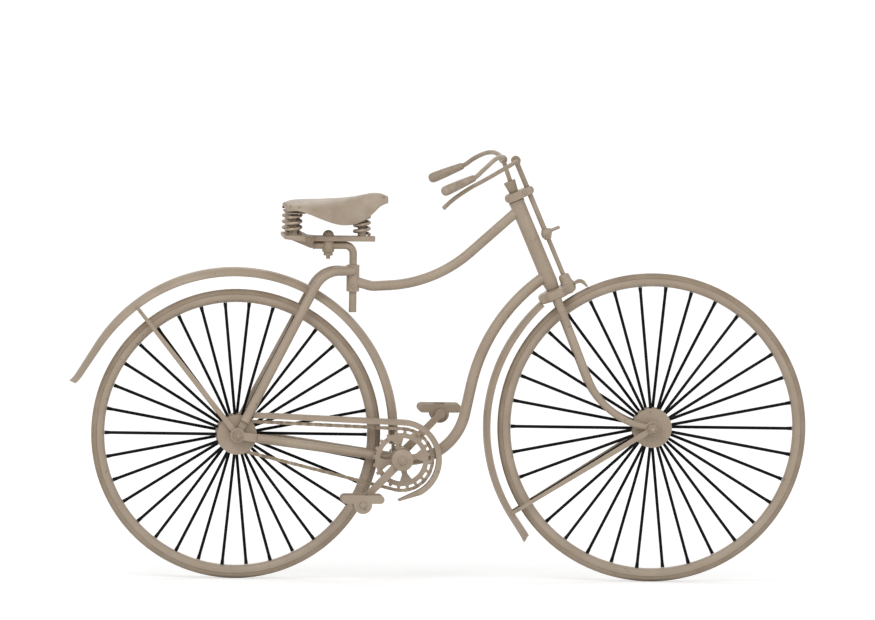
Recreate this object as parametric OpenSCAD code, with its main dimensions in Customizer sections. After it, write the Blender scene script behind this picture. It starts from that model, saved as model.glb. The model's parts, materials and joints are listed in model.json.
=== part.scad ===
// Early safety bicycle: wire wheels, solid tyres, a fixed rear sprocket,
// a sprung saddle, full mudguards and a plunger brake on the front tyre.
// Millimetres. Forward is +X, left is +Y, up is +Z.
// The rider's seat on the saddle is the origin.

/* [Wheels] */
// Outside diameter of the rear tyre
rear_wheel_d = 762; // [745:1:772]
// Outside diameter of the front tyre
front_wheel_d = 812; // [796:1:824]
// Diameter of the round section of a tyre
tyre_d = 26; // [22:0.5:28]
// Wall of the rim beside the tyre
rim_wall = 2; // [1.5:0.25:3]
// Depth of the rim under the tyre
rim_bed = 9; // [8:0.5:12]
// Spokes in each wheel
spoke_count = 34; // [24:2:38]
// Diameter of a spoke
spoke_d = 7; // [3:0.2:7.4]
// Diameter of a hub flange
flange_d = 104; // [96:1:112]
// Thickness of a hub flange
flange_t = 9; // [8:0.5:10]
// Distance between the two flange middles
flange_span = 60; // [56:1:64]
// Diameter of the hub barrel
barrel_d = 36; // [30:1:44]
// Diameter of both axles
axle_d = 12; // [10:0.5:13]

/* [Frame] */
// Distance between the two axles
wheelbase = 1095; // [1088:1:1105]
// Gap from the rear tyre to the middle of the bottom bracket
bracket_gap = 54; // [51:1:59]
// Drop of the bottom bracket below the rear axle
bracket_drop = 62; // [57:1:69]
// Diameter of the crank bracket shell
bracket_d = 58; // [54:1:62]
// Width of the crank bracket shell
bracket_w = 78; // [76:1:80]
// Lean of the steering head from upright
head_tilt = 23.2; // [22.6:0.1:23.8]
// Front axle ahead of the steering axis
fork_rake = 100; // [96:1:104]
// Outside diameter of the head tube
head_d = 36; // [34:0.5:40]
// Bore of the head tube
head_bore = 27; // [24:0.5:29]
// Length of the head tube
head_len = 252; // [248:1:256]
// Diameter of the top tube
top_tube_d = 26.5; // [24:0.5:28]
// Diameter of the down tube
down_tube_d = 29; // [26:0.5:32]
// Diameter of the seat stays
seat_stay_d = 24; // [20:0.5:25]
// Diameter of the chain stays
chain_stay_d = 24; // [20:0.5:25]
// Diameter of the eyes at the axle ends
eye_d = 39; // [34:0.5:42]
// Thickness of the eyes at the axle ends
eye_t = 8; // [7:0.5:9]
// Seat lug ahead of the rear axle
lug_x = 304; // [300:1:308]
// Outside diameter of the seat lug
lug_d = 34; // [32:0.5:38]
// Height of the lower end of the seat lug
lug_low = 758; // [754:1:762]
// Height of the upper end of the seat lug
lug_high = 828; // [825:1:834]

/* [Saddle] */
// Diameter of the seat post
post_d = 20; // [18:0.5:22]
// Height of the middle of the post's rear arm
post_arm_z = 879; // [876:1:881]
// Gap between the seat post's lower end and the mudguard below it
post_gap = 4; // [2:1:50]
// Height of the saddle top where the rider sits
saddle_z = 1000; // [998:1:1003]
// Thickness of the saddle leather
leather_t = 5; // [4:0.5:6]
// Outside diameter of a saddle spring
spring_d = 48; // [44:1:50]
// Diameter of the spring wire
spring_wire = 9; // [6:0.5:9.5]
// Turns in a saddle spring
spring_turns = 4; // [3:0.5:4.5]

/* [Drive] */
// Sideways distance of the chain from the middle
chain_y = 56; // [55:0.5:57]
// Length of one block and one plate link together
chain_pitch = 25.4; // [25:0.1:26]
// Height of a chain block
block_h = 9; // [8:0.5:10]
// Thickness of a chain block
block_t = 6.5; // [5.5:0.5:7]
// Thickness of a chain side plate
plate_t = 1.8; // [1.4:0.1:2]
// Teeth of the chainwheel
chainwheel_teeth = 20; // [18:1:21]
// Teeth of the rear sprocket
sprocket_teeth = 9; // [9:1:11]
// Thickness of the toothed wheels
tooth_t = 6; // [5:0.5:7]
// Diameter of the crank spindle
spindle_d = 18; // [16:0.5:20]
// Length of a crank between its centres
crank_len = 156; // [148:1:162]
// Angle of the left crank above level, forwards
crank_angle = 46; // [0:1:90]
// Thickness of a crank
crank_t = 14; // [12:0.5:16]
// Length of a pedal pad front to back
pad_len = 113; // [104:1:116]
// Height of a pedal pad
pad_h = 22; // [20:0.5:24]
// Width of a pedal
pedal_w = 92; // [84:1:100]
// Diameter of a pedal pin
pedal_pin_d = 10; // [9:0.5:11]

/* [Steering] */
// Diameter of a fork blade at the crown
blade_d = 19; // [17:0.5:20]
// Diameter of a fork blade at the axle
blade_end_d = 16.5; // [15:0.5:17]
// Sideways distance of a fork blade from the middle
blade_y = 51; // [50:0.5:53]
// Thickness of the fork crown
crown_t = 27; // [24:1:30]
// Brake rod ahead of the steering axis
rod_offset = 40; // [39:0.5:42]
// Diameter of the upper brake rod
rod_d = 12; // [11:0.5:13]
// Diameter of the lower brake rod
rod_low_d = 10.5; // [9:0.5:10.5]
// Diameter of the handlebar
bar_d = 14; // [12:0.5:16]
// Sideways distance of a grip's end
grip_y = 276; // [255:1:285]
// Diameter of a grip
grip_d = 25; // [23:0.5:28]
// Diameter of the lamp bracket finger
lamp_pin_d = 9; // [8:0.5:10]

/* [Mudguards] */
// Width of a mudguard
guard_w = 54; // [52:1:56]
// Depth of a mudguard from crown to edge
guard_depth = 22; // [19:1:24]
// Thickness of the mudguard sheet
guard_t = 2; // [1.5:0.25:2.5]
// Space between a tyre and the crown of its mudguard
guard_space = 38; // [36:1:40]
// Width of the chain guard
chain_guard_w = 26; // [24:1:27]
// Depth of the chain guard
chain_guard_h = 14; // [12:1:15]

/* [Hidden] */
$fn = 48;
// Radial clearance of a running fit
run_fit = 0.05;
// Gap between two fixed pieces that seat on each other
seat_gap = 0.15;
// Gap between moving pieces
move_gap = 5;
// Short space inside the sleeve where two pieces of a tube meet
joint_gap = 0.5;
// Length and wall of that sleeve
sleeve_len = 3;
sleeve_wall = 0.25;

rear_r = rear_wheel_d / 2;
front_r = front_wheel_d / 2;
ring_depth = tyre_d + rim_bed;
rim_w = tyre_d + 2 * rim_wall;
flange_out = flange_span / 2 + flange_t / 2;

// Rider's seat, the origin
bracket_x = rear_r + bracket_gap;
bracket_z = rear_r - bracket_drop;
laid_rear_r = 381;
seat_rise = 2 * (rear_r - laid_rear_r);
rider = [212, 0, saddle_z + seat_rise];

// Steering axis: foot is where the front axle's height meets it squarely
foot = [wheelbase - fork_rake * cos(head_tilt), 0, front_r - fork_rake * sin(head_tilt)];
up_head = [-sin(head_tilt), 0, cos(head_tilt)];
function on_head(s) = foot + s * up_head;
function in_head_pt(off, s) = on_head(s) + off * [cos(head_tilt), 0, sin(head_tilt)];
crown_low = sqrt(pow(front_r, 2) - pow(fork_rake - rod_offset, 2)) + 8;
crown_top = crown_low + crown_t;
head_low = crown_top + 1;
head_top = head_low + head_len;
clip_low = head_top + 1;
clip_t = 22;
clip_top = clip_low + clip_t;
cup_h = 31;
cup_top = clip_top + cup_h;

// Axle ends: the eyes stack outwards from the hub
rear_eye_y = 68;
rear_strap_y = rear_eye_y + eye_t + 0.1;
strap_t = 4;
rear_out_eye_y = rear_strap_y + strap_t + 0.1;
rear_nut_y = rear_out_eye_y + eye_t + 0.1;
front_eye_y = blade_y - eye_t / 2;
front_strap_y = blade_y + blade_end_d / 2 + 0.5;
front_nut_y = front_strap_y + strap_t + 0.1;
front_eye_t = front_strap_y - 0.1 - front_eye_y;
nut_t = 11;
// Width of the flat tang between an eye and its stay
tang_w = 17;
chain_tang_w = 21;
nut_d = 26;

// Crank side distances
crank_y = chain_y + chain_guard_w / 2 + move_gap;
pedal_y = crank_y + crank_t + 7;
link = chain_pitch / 2;
function pitch_r(teeth) = chain_pitch / (2 * sin(180 / teeth));
function tip_r(teeth) = sqrt(pow(pitch_r(teeth), 2) - pow(link / 2, 2)) - block_h / 2 - 0.4;
tooth_h = 6;
chain_half = block_t / 2 + plate_t;
bracket = [bracket_x, 0, bracket_z];
rear_axle_at = [0, 0, rear_r];
front_axle_at = [wheelbase, 0, front_r];

// Places along the frame tubes
top_tube_s = head_top - 24;
down_tube_s = head_low + 40;
tyre_back = wheelbase - front_r;
down_path = [
    on_head(down_tube_s), on_head(down_tube_s) - [159, 0, 119.5], [tyre_back - 112, 0, bracket_z - 4],
    [bracket_x, 0, bracket_z - 4]
];
down_bends = [470, 155];
stay_knee = [223, 44, 812 + seat_rise];
stay_end_y = 13;
bar_at = in_head_pt(10, cup_top + 60);

function unit(v) = v / norm(v);
function frame_of(x, y, z, o) = [
    [x.x, y.x, z.x, o.x],
    [x.y, y.y, z.y, o.y],
    [x.z, y.z, z.z, o.z],
    [0, 0, 0, 1]
];
function side_of(d) = abs(d.y) > 0.99 ? [1, 0, 0] : unit(cross([0, 1, 0], d));
function mirrored(p, s) = [p.x, s * p.y, p.z];

// Length from a corner of a path to where its bend begins
function bend_run(p, i, r) = r * tan(acos(unit(p[i] - p[i - 1]) * unit(p[i + 1] - p[i])) / 2);
function run_at(p, r, i) = i < 1 || i > len(p) - 2 ? 0 : bend_run(p, i, r[i - 1]);
function room(p, r, i) = min(1, norm(p[i + 1] - p[i]) / (run_at(p, r, i) + run_at(p, r, i + 1) + 3 * joint_gap));

// Round rod, plain or tapered, from one point to another
module rod(a, b, d1, d2) {
    d = unit(b - a);
    x = side_of(d);
    multmatrix(frame_of(x, cross(d, x), d, a)) cylinder(h = norm(b - a), d1 = d1, d2 = d2);
}

// Round tube along a path whose corners are rounded; a thin sleeve covers each joint
module bent(points, bends, d) {
    last = len(points) - 1;
    radii = [for (i = [1:1:last - 1]) bends[i - 1] * min(room(points, bends, i - 1), room(points, bends, i))];
    for (i = [0:last - 1]) {
        v = unit(points[i + 1] - points[i]);
        a = i == 0 ? 0 : bend_run(points, i, radii[i - 1]) + joint_gap;
        b = i == last - 1 ? 0 : bend_run(points, i + 1, radii[i]) + joint_gap;
        rod(points[i] + a * v, points[i + 1] - b * v, d, d);
    }
    for (i = [1:1:last - 1]) {
        v = unit(points[i] - points[i - 1]);
        w = unit(points[i + 1] - points[i]);
        n = unit(cross(v, w));
        r = radii[i - 1];
        run = bend_run(points, i, r);
        x = -cross(n, v);
        multmatrix(frame_of(x, v, n, points[i] - run * v - r * x))
            rotate_extrude(angle = acos(v * w)) translate([r, 0]) circle(d = d);
        sleeve(points[i] - run * v, v, d);
        sleeve(points[i] + run * w, w, d);
    }
}

// Thin ring over the joint of two pieces of a tube
module sleeve(at, v, d) {
    rod(at - sleeve_len / 2 * v, at + sleeve_len / 2 * v, d + 2 * sleeve_wall, d + 2 * sleeve_wall);
}

// Flat tapered strap from one point to another, its face turned sideways
module strap(a, b, w1, w2, t) {
    d = unit(b - a);
    x = side_of(d);
    long = norm(b - a);
    multmatrix(frame_of(x, cross(d, x), d, a)) rotate([90, 0, 0]) linear_extrude(t, center = true)
        polygon([[-w1 / 2, 0], [w1 / 2, 0], [w2 / 2, long], [-w2 / 2, long]]);
}

// Cylinder along Y from one sideways distance to another
module across(at, y1, y2, d) {
    translate([at.x, y2, at.z]) rotate([90, 0, 0]) cylinder(h = y2 - y1, d = d);
}

// Six-sided nut along Y
module hex_across(at, y1, y2, d) {
    translate([at.x, y2, at.z]) rotate([90, 0, 0]) cylinder(h = y2 - y1, d = d, $fn = 6);
}

// Two round ends joined along their tangents
module lobes(r1, r2, gap) {
    a = acos((r1 - r2) / gap);
    q1 = r1 - 0.05;
    q2 = r2 - 0.05;
    circle(r1);
    translate([gap, 0]) circle(r2);
    polygon([
        [q1 * cos(a), -q1 * sin(a)],
        [gap + q2 * cos(a), -q2 * sin(a)],
        [gap + q2 * cos(a), q2 * sin(a)],
        [q1 * cos(a), q1 * sin(a)]
    ]);
}

module placed() {
    translate(-rider) children();
}

// Seat pieces go up with the rear tyre's top
module placed_seat() {
    translate([0, 0, seat_rise] - rider) children();
}

module in_head() {
    translate(foot) rotate([0, -head_tilt, 0]) children();
}

// Turns a drawing in X and Y up into X and Z
module upright(at) {
    translate(at) rotate([90, 0, 0]) children();
}

// Wheel pieces around the axle at the given place
module tyre_ring(at, r) {
    upright(at) rotate_extrude() translate([r - tyre_d / 2, 0]) circle(d = tyre_d);
}

module rim_ring(at, r) {
    upright(at) rotate_extrude() difference() {
        union() {
            translate([r - ring_depth + rim_w / 2, 0]) circle(d = rim_w);
            translate([r - ring_depth + rim_w / 2, -rim_w / 2])
                square([ring_depth - rim_w / 2 - tyre_d / 2 - 1, rim_w]);
        }
        translate([r - tyre_d / 2, 0]) circle(d = tyre_d + 2 * seat_gap);
        translate([r - tyre_d / 2 - 1, -rim_w]) square([rim_w, 2 * rim_w]);
    }
}

module spoke_set(at, r) {
    from = flange_d / 2 + 0.5;
    to = r - ring_depth - 0.4;
    for (i = [0:spoke_count - 1]) {
        side = i % 2 == 0 ? 1 : -1;
        a = 360 / spoke_count * i;
        away = [cos(a), 0, sin(a)];
        rod(at + from * away + [0, side * flange_span / 2, 0], at + to * away + [0, side * 3, 0], spoke_d, spoke_d);
    }
}

module hub_body(at, out_left, out_right) {
    difference() {
        union() {
            across(at, -flange_out, flange_out, barrel_d);
            for (side = [-1, 1]) {
                mid = side * flange_span / 2;
                across(at, mid - flange_t / 2, mid + flange_t / 2, flange_d);
            }
            across(at, -out_right, out_left, barrel_d - 8);
        }
        across(at, -out_right - 1, out_left + 1, axle_d + 2 * run_fit);
    }
}

// Flat toothed disc
module toothed(teeth) {
    tip = tip_r(teeth);
    circle(r = tip - tooth_h);
    for (i = [0:teeth - 1]) {
        rotate(360 / teeth * i)
            polygon([[tip - tooth_h - 3, -6], [tip, -3.4], [tip, 3.4], [tip - tooth_h - 3, 6]]);
    }
}

// Mudguard section: radius outwards is X, sideways is Y
module guard_section(crown_r, grow) {
    r = (pow(guard_w / 2, 2) + pow(guard_depth, 2)) / (2 * guard_depth);
    intersection() {
        difference() {
            translate([crown_r - r, 0]) circle(r = r + grow);
            translate([crown_r - r, 0]) circle(r = r - guard_t - grow);
        }
        translate([crown_r - guard_depth - grow, -guard_w]) square([guard_w, 2 * guard_w]);
    }
}

// Mudguard about a centre from one angle to another with a straight tail
module guard_arc(at, crown_r, a1, a2, tail, grow) {
    upright(at) {
        rotate(a1) rotate_extrude(angle = a2 - a1) guard_section(crown_r, grow);
        rotate(a2) translate([0, tail, 0]) rotate([90, 0, 0]) linear_extrude(tail - joint_gap)
            guard_section(crown_r, grow);
        rotate(a2) translate([0, sleeve_len / 2, 0]) rotate([90, 0, 0]) linear_extrude(sleeve_len)
            guard_section(crown_r, grow + sleeve_wall);
    }
}

// Closed spring: wire wound about an upright axis between two heights
module coil(x, y, z1, z2, turns) {
    steps = 12;
    sides = 6;
    total = floor(turns * steps);
    r = (spring_d - spring_wire) / 2;
    rise = z2 - z1 - spring_wire;
    points = [for (i = [0:total]) for (j = [0:sides - 1])
        let (a = 360 * i / steps, b = 360 * j / sides, q = r + spring_wire / 2 * cos(b))
        [x + q * cos(a), y + q * sin(a), z1 + spring_wire / 2 + rise * i / total + spring_wire / 2 * sin(b)]];
    walls = [for (i = [0:total - 1]) for (j = [0:sides - 1])
        let (k = (j + 1) % sides)
        [i * sides + j, (i + 1) * sides + j, (i + 1) * sides + k, i * sides + k]];
    first = [for (j = [0:sides - 1]) j];
    final = [for (j = [0:sides - 1]) total * sides + sides - 1 - j];
    polyhedron(points, concat(walls, [first], [final]));
}

// Head of the frame
head_at = on_head(head_low);
module head_solid(grow) {
    in_head() translate([0, 0, head_low]) cylinder(h = head_len, d = head_d + 2 * grow);
}

module head_tube() {
    color("#a49484") placed() difference() {
        in_head() translate([0, 0, head_low]) {
            cylinder(h = 20, d1 = head_d - 6, d2 = head_d);
            translate([0, 0, 20]) cylinder(h = head_len - 20, d = head_d);
        }
        in_head() cylinder(h = head_top + 10, d = head_bore);
    }
}

module top_tube() {
    color("#a49484") placed() difference() {
        bent([
            [lug_x, 0, 786 + seat_rise], [354, 0, 772 + seat_rise], [522, 0, 782 + seat_rise],
            on_head(top_tube_s)
        ], [60, 350], top_tube_d);
        head_solid(seat_gap);
        translate([lug_x, 0, lug_low - 20 + seat_rise]) cylinder(h = 150, d = lug_d + 2 * seat_gap);
    }
}

module down_tube() {
    color("#a49484") placed() difference() {
        bent(down_path, down_bends, down_tube_d);
        head_solid(seat_gap);
        across(bracket, -60, 60, bracket_d + 2 * seat_gap);
    }
}

module bracket_shell() {
    color("#a49484") placed() difference() {
        across(bracket, -bracket_w / 2, bracket_w / 2, bracket_d);
        across(bracket, -bracket_w, bracket_w, spindle_d + 2 * run_fit);
    }
}

module chain_stay(side) {
    d = unit(bracket - rear_axle_at);
    near = rear_axle_at + 52 * d + [0, rear_out_eye_y + eye_t / 2 - 1, 0];
    y1 = rear_out_eye_y;
    y2 = rear_out_eye_y + eye_t;
    color("#a49484") placed() mirror([0, side < 0 ? 1 : 0, 0]) difference() {
        union() {
            across(rear_axle_at, y1, y2, eye_d);
            translate([0, 0, rear_r]) rotate([0, atan2(-d.z, d.x), 0])
                translate([eye_d / 4, y1 + 0.5, -chain_tang_w / 2]) cube([54, eye_t - 1, chain_tang_w]);
            rod(near, bracket + [0, 24, 0], chain_stay_d, chain_stay_d);
        }
        across(rear_axle_at, y1 - 30, y2 + 30, axle_d + 2 * seat_gap);
        across(bracket, -60, 60, bracket_d + 2 * seat_gap);
    }
}

module chain_stay_right() {
    chain_stay(-1);
}

module chain_stay_left() {
    chain_stay(1);
}

stay_low = rear_axle_at + 40 * unit([stay_knee.x, 0, stay_knee.z - rear_r]) + [0, rear_eye_y + eye_t + 2.5, 0];
stay_path = [stay_low, stay_knee, [lug_x, stay_end_y, stay_knee.z]];

module seat_stay_solid(grow) {
    bent(stay_path, [75], seat_stay_d + 2 * grow);
}

module seat_stay(side) {
    slope = atan2(stay_knee.z - rear_r, stay_knee.x);
    color("#a49484") placed() mirror([0, side < 0 ? 1 : 0, 0]) difference() {
        union() {
            across(rear_axle_at, rear_eye_y, rear_eye_y + eye_t, eye_d);
            translate([0, 0, rear_r]) rotate([0, -slope, 0])
                translate([eye_d / 4, rear_eye_y + 0.5, -tang_w / 2]) cube([44, eye_t - 1, tang_w]);
            seat_stay_solid(0);
        }
        across(rear_axle_at, rear_eye_y - 30, rear_eye_y + 30, axle_d + 2 * seat_gap);
        translate([lug_x, 0, lug_low - 20 + seat_rise]) cylinder(h = 150, d = lug_d + 2 * seat_gap);
    }
}

module seat_stay_right() {
    seat_stay(-1);
}

module seat_stay_left() {
    seat_stay(1);
}

module seat_lug() {
    color("#a49484") placed_seat() difference() {
        translate([lug_x, 0, lug_low]) cylinder(h = lug_high - lug_low, d = lug_d);
        translate([lug_x, 0, lug_low - 1]) cylinder(h = 200, d = post_d + 2 * seat_gap);
    }
}

module seat_post() {
    color("#b8b4ac") placed() bent([
        [lug_x, 0, post_low], [lug_x, 0, post_arm_z + seat_rise], [200, 0, post_arm_z + seat_rise]
    ], [22], post_d);
}

// Rear mudguard, its centre a little above and behind the axle
rear_guard_at = rear_axle_at + [-6, 0, 6];
rear_guard_r = rear_r + guard_space + 14;
front_guard_r = front_r + guard_space;
post_low = rear_guard_at.z + sqrt(pow(rear_guard_r, 2) - pow(lug_x - post_d / 2 - rear_guard_at.x, 2)) + post_gap;

// Rod between the seat stays, just clear of the mudguard's crown
module stay_bridge() {
    bridge_d = 12;
    a = [stay_low.x - rear_guard_at.x, stay_low.z - rear_guard_at.z];
    b = [stay_knee.x - stay_low.x, stay_knee.z - stay_low.z];
    r = rear_guard_r + bridge_d / 2 + 2 * seat_gap;
    t = (sqrt(pow(a * b, 2) - (b * b) * (a * a - r * r)) - a * b) / (b * b);
    mid = stay_low + t * (stay_knee - stay_low);
    color("#a49484") placed() difference() {
        across(mid, -mid.y, mid.y, bridge_d);
        for (side = [0, 1]) {
            mirror([0, side, 0]) seat_stay_solid(seat_gap);
        }
    }
}

module rear_mudguard() {
    color("#a49484") placed() guard_arc(rear_guard_at, rear_guard_r, -4, 148, 112, 0);
}

// Pair of mudguard stays: an eye on the axle, a flat tab and a leaning strap
module guard_stays(at, end, strap_y) {
    mid_y = strap_y + strap_t / 2;
    v = unit(end - at);
    for (side = [-1, 1]) {
        y = [0, side * mid_y, 0];
        difference() {
            union() {
                across(at, side * mid_y - strap_t / 2, side * mid_y + strap_t / 2, 28);
                strap(at + y + 9 * v, at + y + 30 * v, 14, 14, strap_t - 0.2);
                strap(at + y + 28 * v, end + [0, side * (guard_w / 2 + strap_t / 2 + 0.6), 0], 14, 9, strap_t - 0.1);
            }
            across(at, -120, 120, axle_d + 2 * seat_gap);
        }
    }
}

rear_strap_end = rear_guard_at + (rear_guard_r - guard_depth + 6) * [cos(128.5), 0, sin(128.5)];
module rear_mudguard_stays() {
    color("#a49484") placed() guard_stays(rear_axle_at, rear_strap_end, rear_strap_y);
}

module guard_bracket() {
    top = rear_guard_at + (rear_guard_r - guard_t) * [cos(-4), 0, sin(-4)];
    color("#a49484") placed() difference() {
        translate([bracket_x - 24, -9, bracket_z]) cube([8, 18, top.z - bracket_z + 16]);
        across(bracket, -60, 60, bracket_d + 2 * seat_gap);
        guard_arc(rear_guard_at, rear_guard_r, -4.1, 148, 112, seat_gap);
    }
}

// Chain path: two arcs and the two straight runs that touch them
chain_r1 = pitch_r(sprocket_teeth);
chain_r2 = pitch_r(chainwheel_teeth);
axle_gap = norm(bracket - rear_axle_at);
axle_slope = atan2(bracket_z - rear_r, bracket_x);
chain_lean = asin((chain_r2 - chain_r1) / axle_gap);
chain_run = axle_gap * cos(chain_lean);
chain_arc2 = chain_r2 * (180 + 2 * chain_lean) * PI / 180;
chain_arc1 = chain_r1 * (180 - 2 * chain_lean) * PI / 180;
chain_total = 2 * chain_run + chain_arc1 + chain_arc2;
chain_links = 2 * round(chain_total / chain_pitch);
top_angle = 90 + chain_lean + axle_slope;

function polar(c, r, a) = [c.x + r * cos(a), c.z + r * sin(a)];
function on_chain(s) =
    s < chain_arc2 ? polar(bracket, chain_r2, top_angle - s / chain_r2 * 180 / PI)
    : s < chain_arc2 + chain_run ? polar(bracket, chain_r2, top_angle - 180 - 2 * chain_lean)
        - (s - chain_arc2) * [cos(axle_slope - chain_lean), sin(axle_slope - chain_lean)]
    : s < chain_arc2 + chain_run + chain_arc1 ? polar(rear_axle_at, chain_r1,
        top_angle - 180 - 2 * chain_lean - (s - chain_arc2 - chain_run) / chain_r1 * 180 / PI)
    : polar(rear_axle_at, chain_r1, top_angle)
        + (s - chain_arc2 - chain_run - chain_arc1) * [cos(axle_slope + chain_lean), sin(axle_slope + chain_lean)];

// Chain guard: a channel that covers the upper run and bends round the chainwheel
chain_guard_r = pitch_r(chainwheel_teeth) + block_h / 2 + 5 + chain_guard_h;
module chain_guard_section(grow) {
    low = chain_guard_r - chain_guard_h;
    difference() {
        translate([low - grow, -chain_guard_w / 2 - grow]) square([chain_guard_h + 2 * grow, chain_guard_w + 2 * grow]);
        translate([low - 1, -chain_guard_w / 2 + 1.6 + grow])
            square([chain_guard_h - 0.6 - grow, chain_guard_w - 3.2 - 2 * grow]);
    }
}

chain_guard_lean = top_angle;
chain_guard_end = -62;
module chain_guard() {
    run = bracket_x - 38;
    tail = 48;
    color("#a49484") placed() difference() {
        chain_guard_solid(run, tail);
        mirror([0, 1, 0]) seat_stay_solid(seat_gap);
    }
}

module chain_guard_solid(run, tail) {
    upright([bracket_x, -chain_y, bracket_z]) {
        rotate(chain_guard_end) rotate_extrude(angle = chain_guard_lean - chain_guard_end) chain_guard_section(0);
        rotate(chain_guard_lean) translate([0, run, 0]) rotate([90, 0, 0]) linear_extrude(run - joint_gap)
            chain_guard_section(0);
        for (a = [chain_guard_lean, chain_guard_end]) {
            rotate(a) translate([0, sleeve_len / 2, 0]) rotate([90, 0, 0]) linear_extrude(sleeve_len)
                chain_guard_section(sleeve_wall);
        }
        rotate(chain_guard_end) rotate([90, 0, 0]) difference() {
            translate([0, 0, joint_gap]) linear_extrude(tail - joint_gap) chain_guard_section(0);
            translate([chain_guard_r, 0, tail]) rotate([0, -16, 0])
                translate([0, -chain_guard_w, -2 * tail]) cube([chain_guard_w, 2 * chain_guard_w, 4 * tail]);
        }
    }
}

module chain_guard_clip() {
    at = bracket + (chain_guard_r - chain_guard_h / 2) * [cos(-1.5), 0, sin(-1.5)];
    color("#a49484") placed() difference() {
        across(at, -chain_y + chain_guard_w / 2 + seat_gap, 0, 9);
        bent(down_path, down_bends, down_tube_d + 2 * seat_gap);
    }
}

module link_shape(i, h) {
    a = on_chain(chain_total * i / chain_links);
    b = on_chain(chain_total * ((i + 1) % chain_links) / chain_links);
    d = b - a;
    c = h * 0.21;
    translate(a) rotate(atan2(d.y, d.x)) polygon([
        [-h / 2, -c], [-c, -h / 2], [norm(d) + c, -h / 2], [norm(d) + h / 2, -c],
        [norm(d) + h / 2, c], [norm(d) + c, h / 2], [-c, h / 2], [-h / 2, c]
    ]);
}

module chain() {
    color("#8a7d70") placed() translate([0, -chain_y, 0]) rotate([90, 0, 0]) {
        for (i = [0:2:chain_links - 1]) {
            translate([0, 0, -block_t / 2]) linear_extrude(block_t) link_shape(i, block_h);
            translate([0, 0, block_t / 2]) linear_extrude(plate_t) link_shape(i + 1, block_h - 1);
            translate([0, 0, -block_t / 2 - plate_t]) linear_extrude(plate_t) link_shape(i + 1, block_h - 1);
        }
    }
}

// Saddle
spring_low = 909;
saddle_lift = saddle_z - 1000;
cantle_t = 3;
guide_d = 22;
cantle_z = saddle_lift + 968.8 - cantle_t;
nose_z = saddle_lift + 975;
rear_spring_x = 142;
rear_spring_y = 58;
front_spring_x = 326;
module saddle_clamp() {
    color("#b8b4ac") placed_seat() difference() {
        union() {
            translate([238, 0, 862]) cylinder(h = spring_low - 4 - 862, d = 32);
            translate([238, 0, spring_low - 5]) rotate_extrude()
                polygon([[0, 0], [15, 0], [14.3, 5], [12, 9.5], [8, 13], [3, 15], [0, 15]]);
            translate([238, 0, 852]) cylinder(h = 10, d = 24, $fn = 6);
            translate([238, 0, 843]) cylinder(h = 9, d = 11);
        }
        rod([180, 0, post_arm_z], [300, 0, post_arm_z], post_d + 2 * seat_gap, post_d + 2 * seat_gap);
        translate([200, -40, 890 - seat_gap]) cube([80, 80, 14 + 2 * seat_gap]);
    }
}

module saddle_frame() {
    color("#b8b4ac") placed_seat() {
        translate([0, 17, 0]) rotate([90, 0, 0]) linear_extrude(34)
            polygon([[128, 900], [134, 895], [190, 872], [198, 872], [198, 893], [186, 898]]);
        for (side = [-1, 1]) {
            translate([rear_spring_x, side * rear_spring_y, spring_low - 3])
                cylinder(h = cantle_z - spring_low + 3 - seat_gap, d = guide_d);
        }
        translate([front_spring_x, 0, 900]) cylinder(h = nose_z - 900 - seat_gap, d = guide_d);
        intersection() {
            translate([0, 100, 0]) rotate([90, 0, 0]) linear_extrude(200)
                polygon([[117, 899], [140, 896], [185, 890], [361, 890], [361, 904], [186, 904], [174, spring_low],
                    [117, spring_low]]);
            translate([0, 0, 840]) linear_extrude(100)
                polygon([[117, -84], [172, -84], [205, -22], [361, -16], [361, 16], [205, 22], [172, 84], [117, 84]]);
        }
    }
}

module saddle_springs() {
    color("#8a8178") placed_seat() {
        coil(rear_spring_x, rear_spring_y, spring_low + 0.2, cantle_z - 0.2, spring_turns - 1);
        coil(rear_spring_x, -rear_spring_y, spring_low + 0.2, cantle_z - 0.2, spring_turns - 1);
        coil(front_spring_x, 0, 904.2, nose_z - 0.2, spring_turns);
    }
}

// Saddle cross sections from the rear to the nose
// columns: place along X, height of the crown, half width, height of the lower edge
saddle_rows = [
    [120, 986, 60, 969],
    [132, 993, 88, 969],
    [150, 997, 98, 969],
    [180, 999, 100, 958],
    [212, 1000, 92, 946],
    [245, 1001, 76, 935],
    [275, 1002, 58, 931],
    [305, 1005, 42, 936],
    [330, 1009, 32, 948],
    [352, 1012, 27, 966],
    [374, 1011, 24, 984],
    [392, 1004, 17, 992]
];
saddle_steps = 10;
function saddle_pt(row, k, inset) =
    let (a = 180 * k / saddle_steps, h = row[1] - row[3] - inset, w = row[2] - inset)
    [row[0], w * cos(a) * pow(abs(cos(a)), -0.25 + 0.25 * pow(sin(a), 2)),
        saddle_lift + row[3] + h * pow(max(sin(a), 0), 0.8)];
function saddle_ring(row) = concat(
    [for (k = [0:saddle_steps]) saddle_pt(row, k, 0)],
    [for (k = [saddle_steps:-1:0]) saddle_pt(row, k, leather_t)]
);

module saddle_leather() {
    n = 2 * saddle_steps + 2;
    last = len(saddle_rows) - 1;
    points = [for (row = saddle_rows) each saddle_ring(row)];
    walls = [for (i = [0:last - 1]) for (j = [0:n - 1])
        let (k = (j + 1) % n, p = i * n, q = p + n)
        each [[p + j, p + k, q + j], [p + k, q + k, q + j]]];
    caps = [for (k = [0:saddle_steps - 1])
        let (j = n - 1 - k)
        each [[k, j, k + 1], [j, j - 1, k + 1]]];
    ends = [for (f = caps) [f[0] + last * n, f[2] + last * n, f[1] + last * n]];
    color("#8f7a66") placed_seat() polyhedron(points, concat(walls, caps, ends));
}

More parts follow.
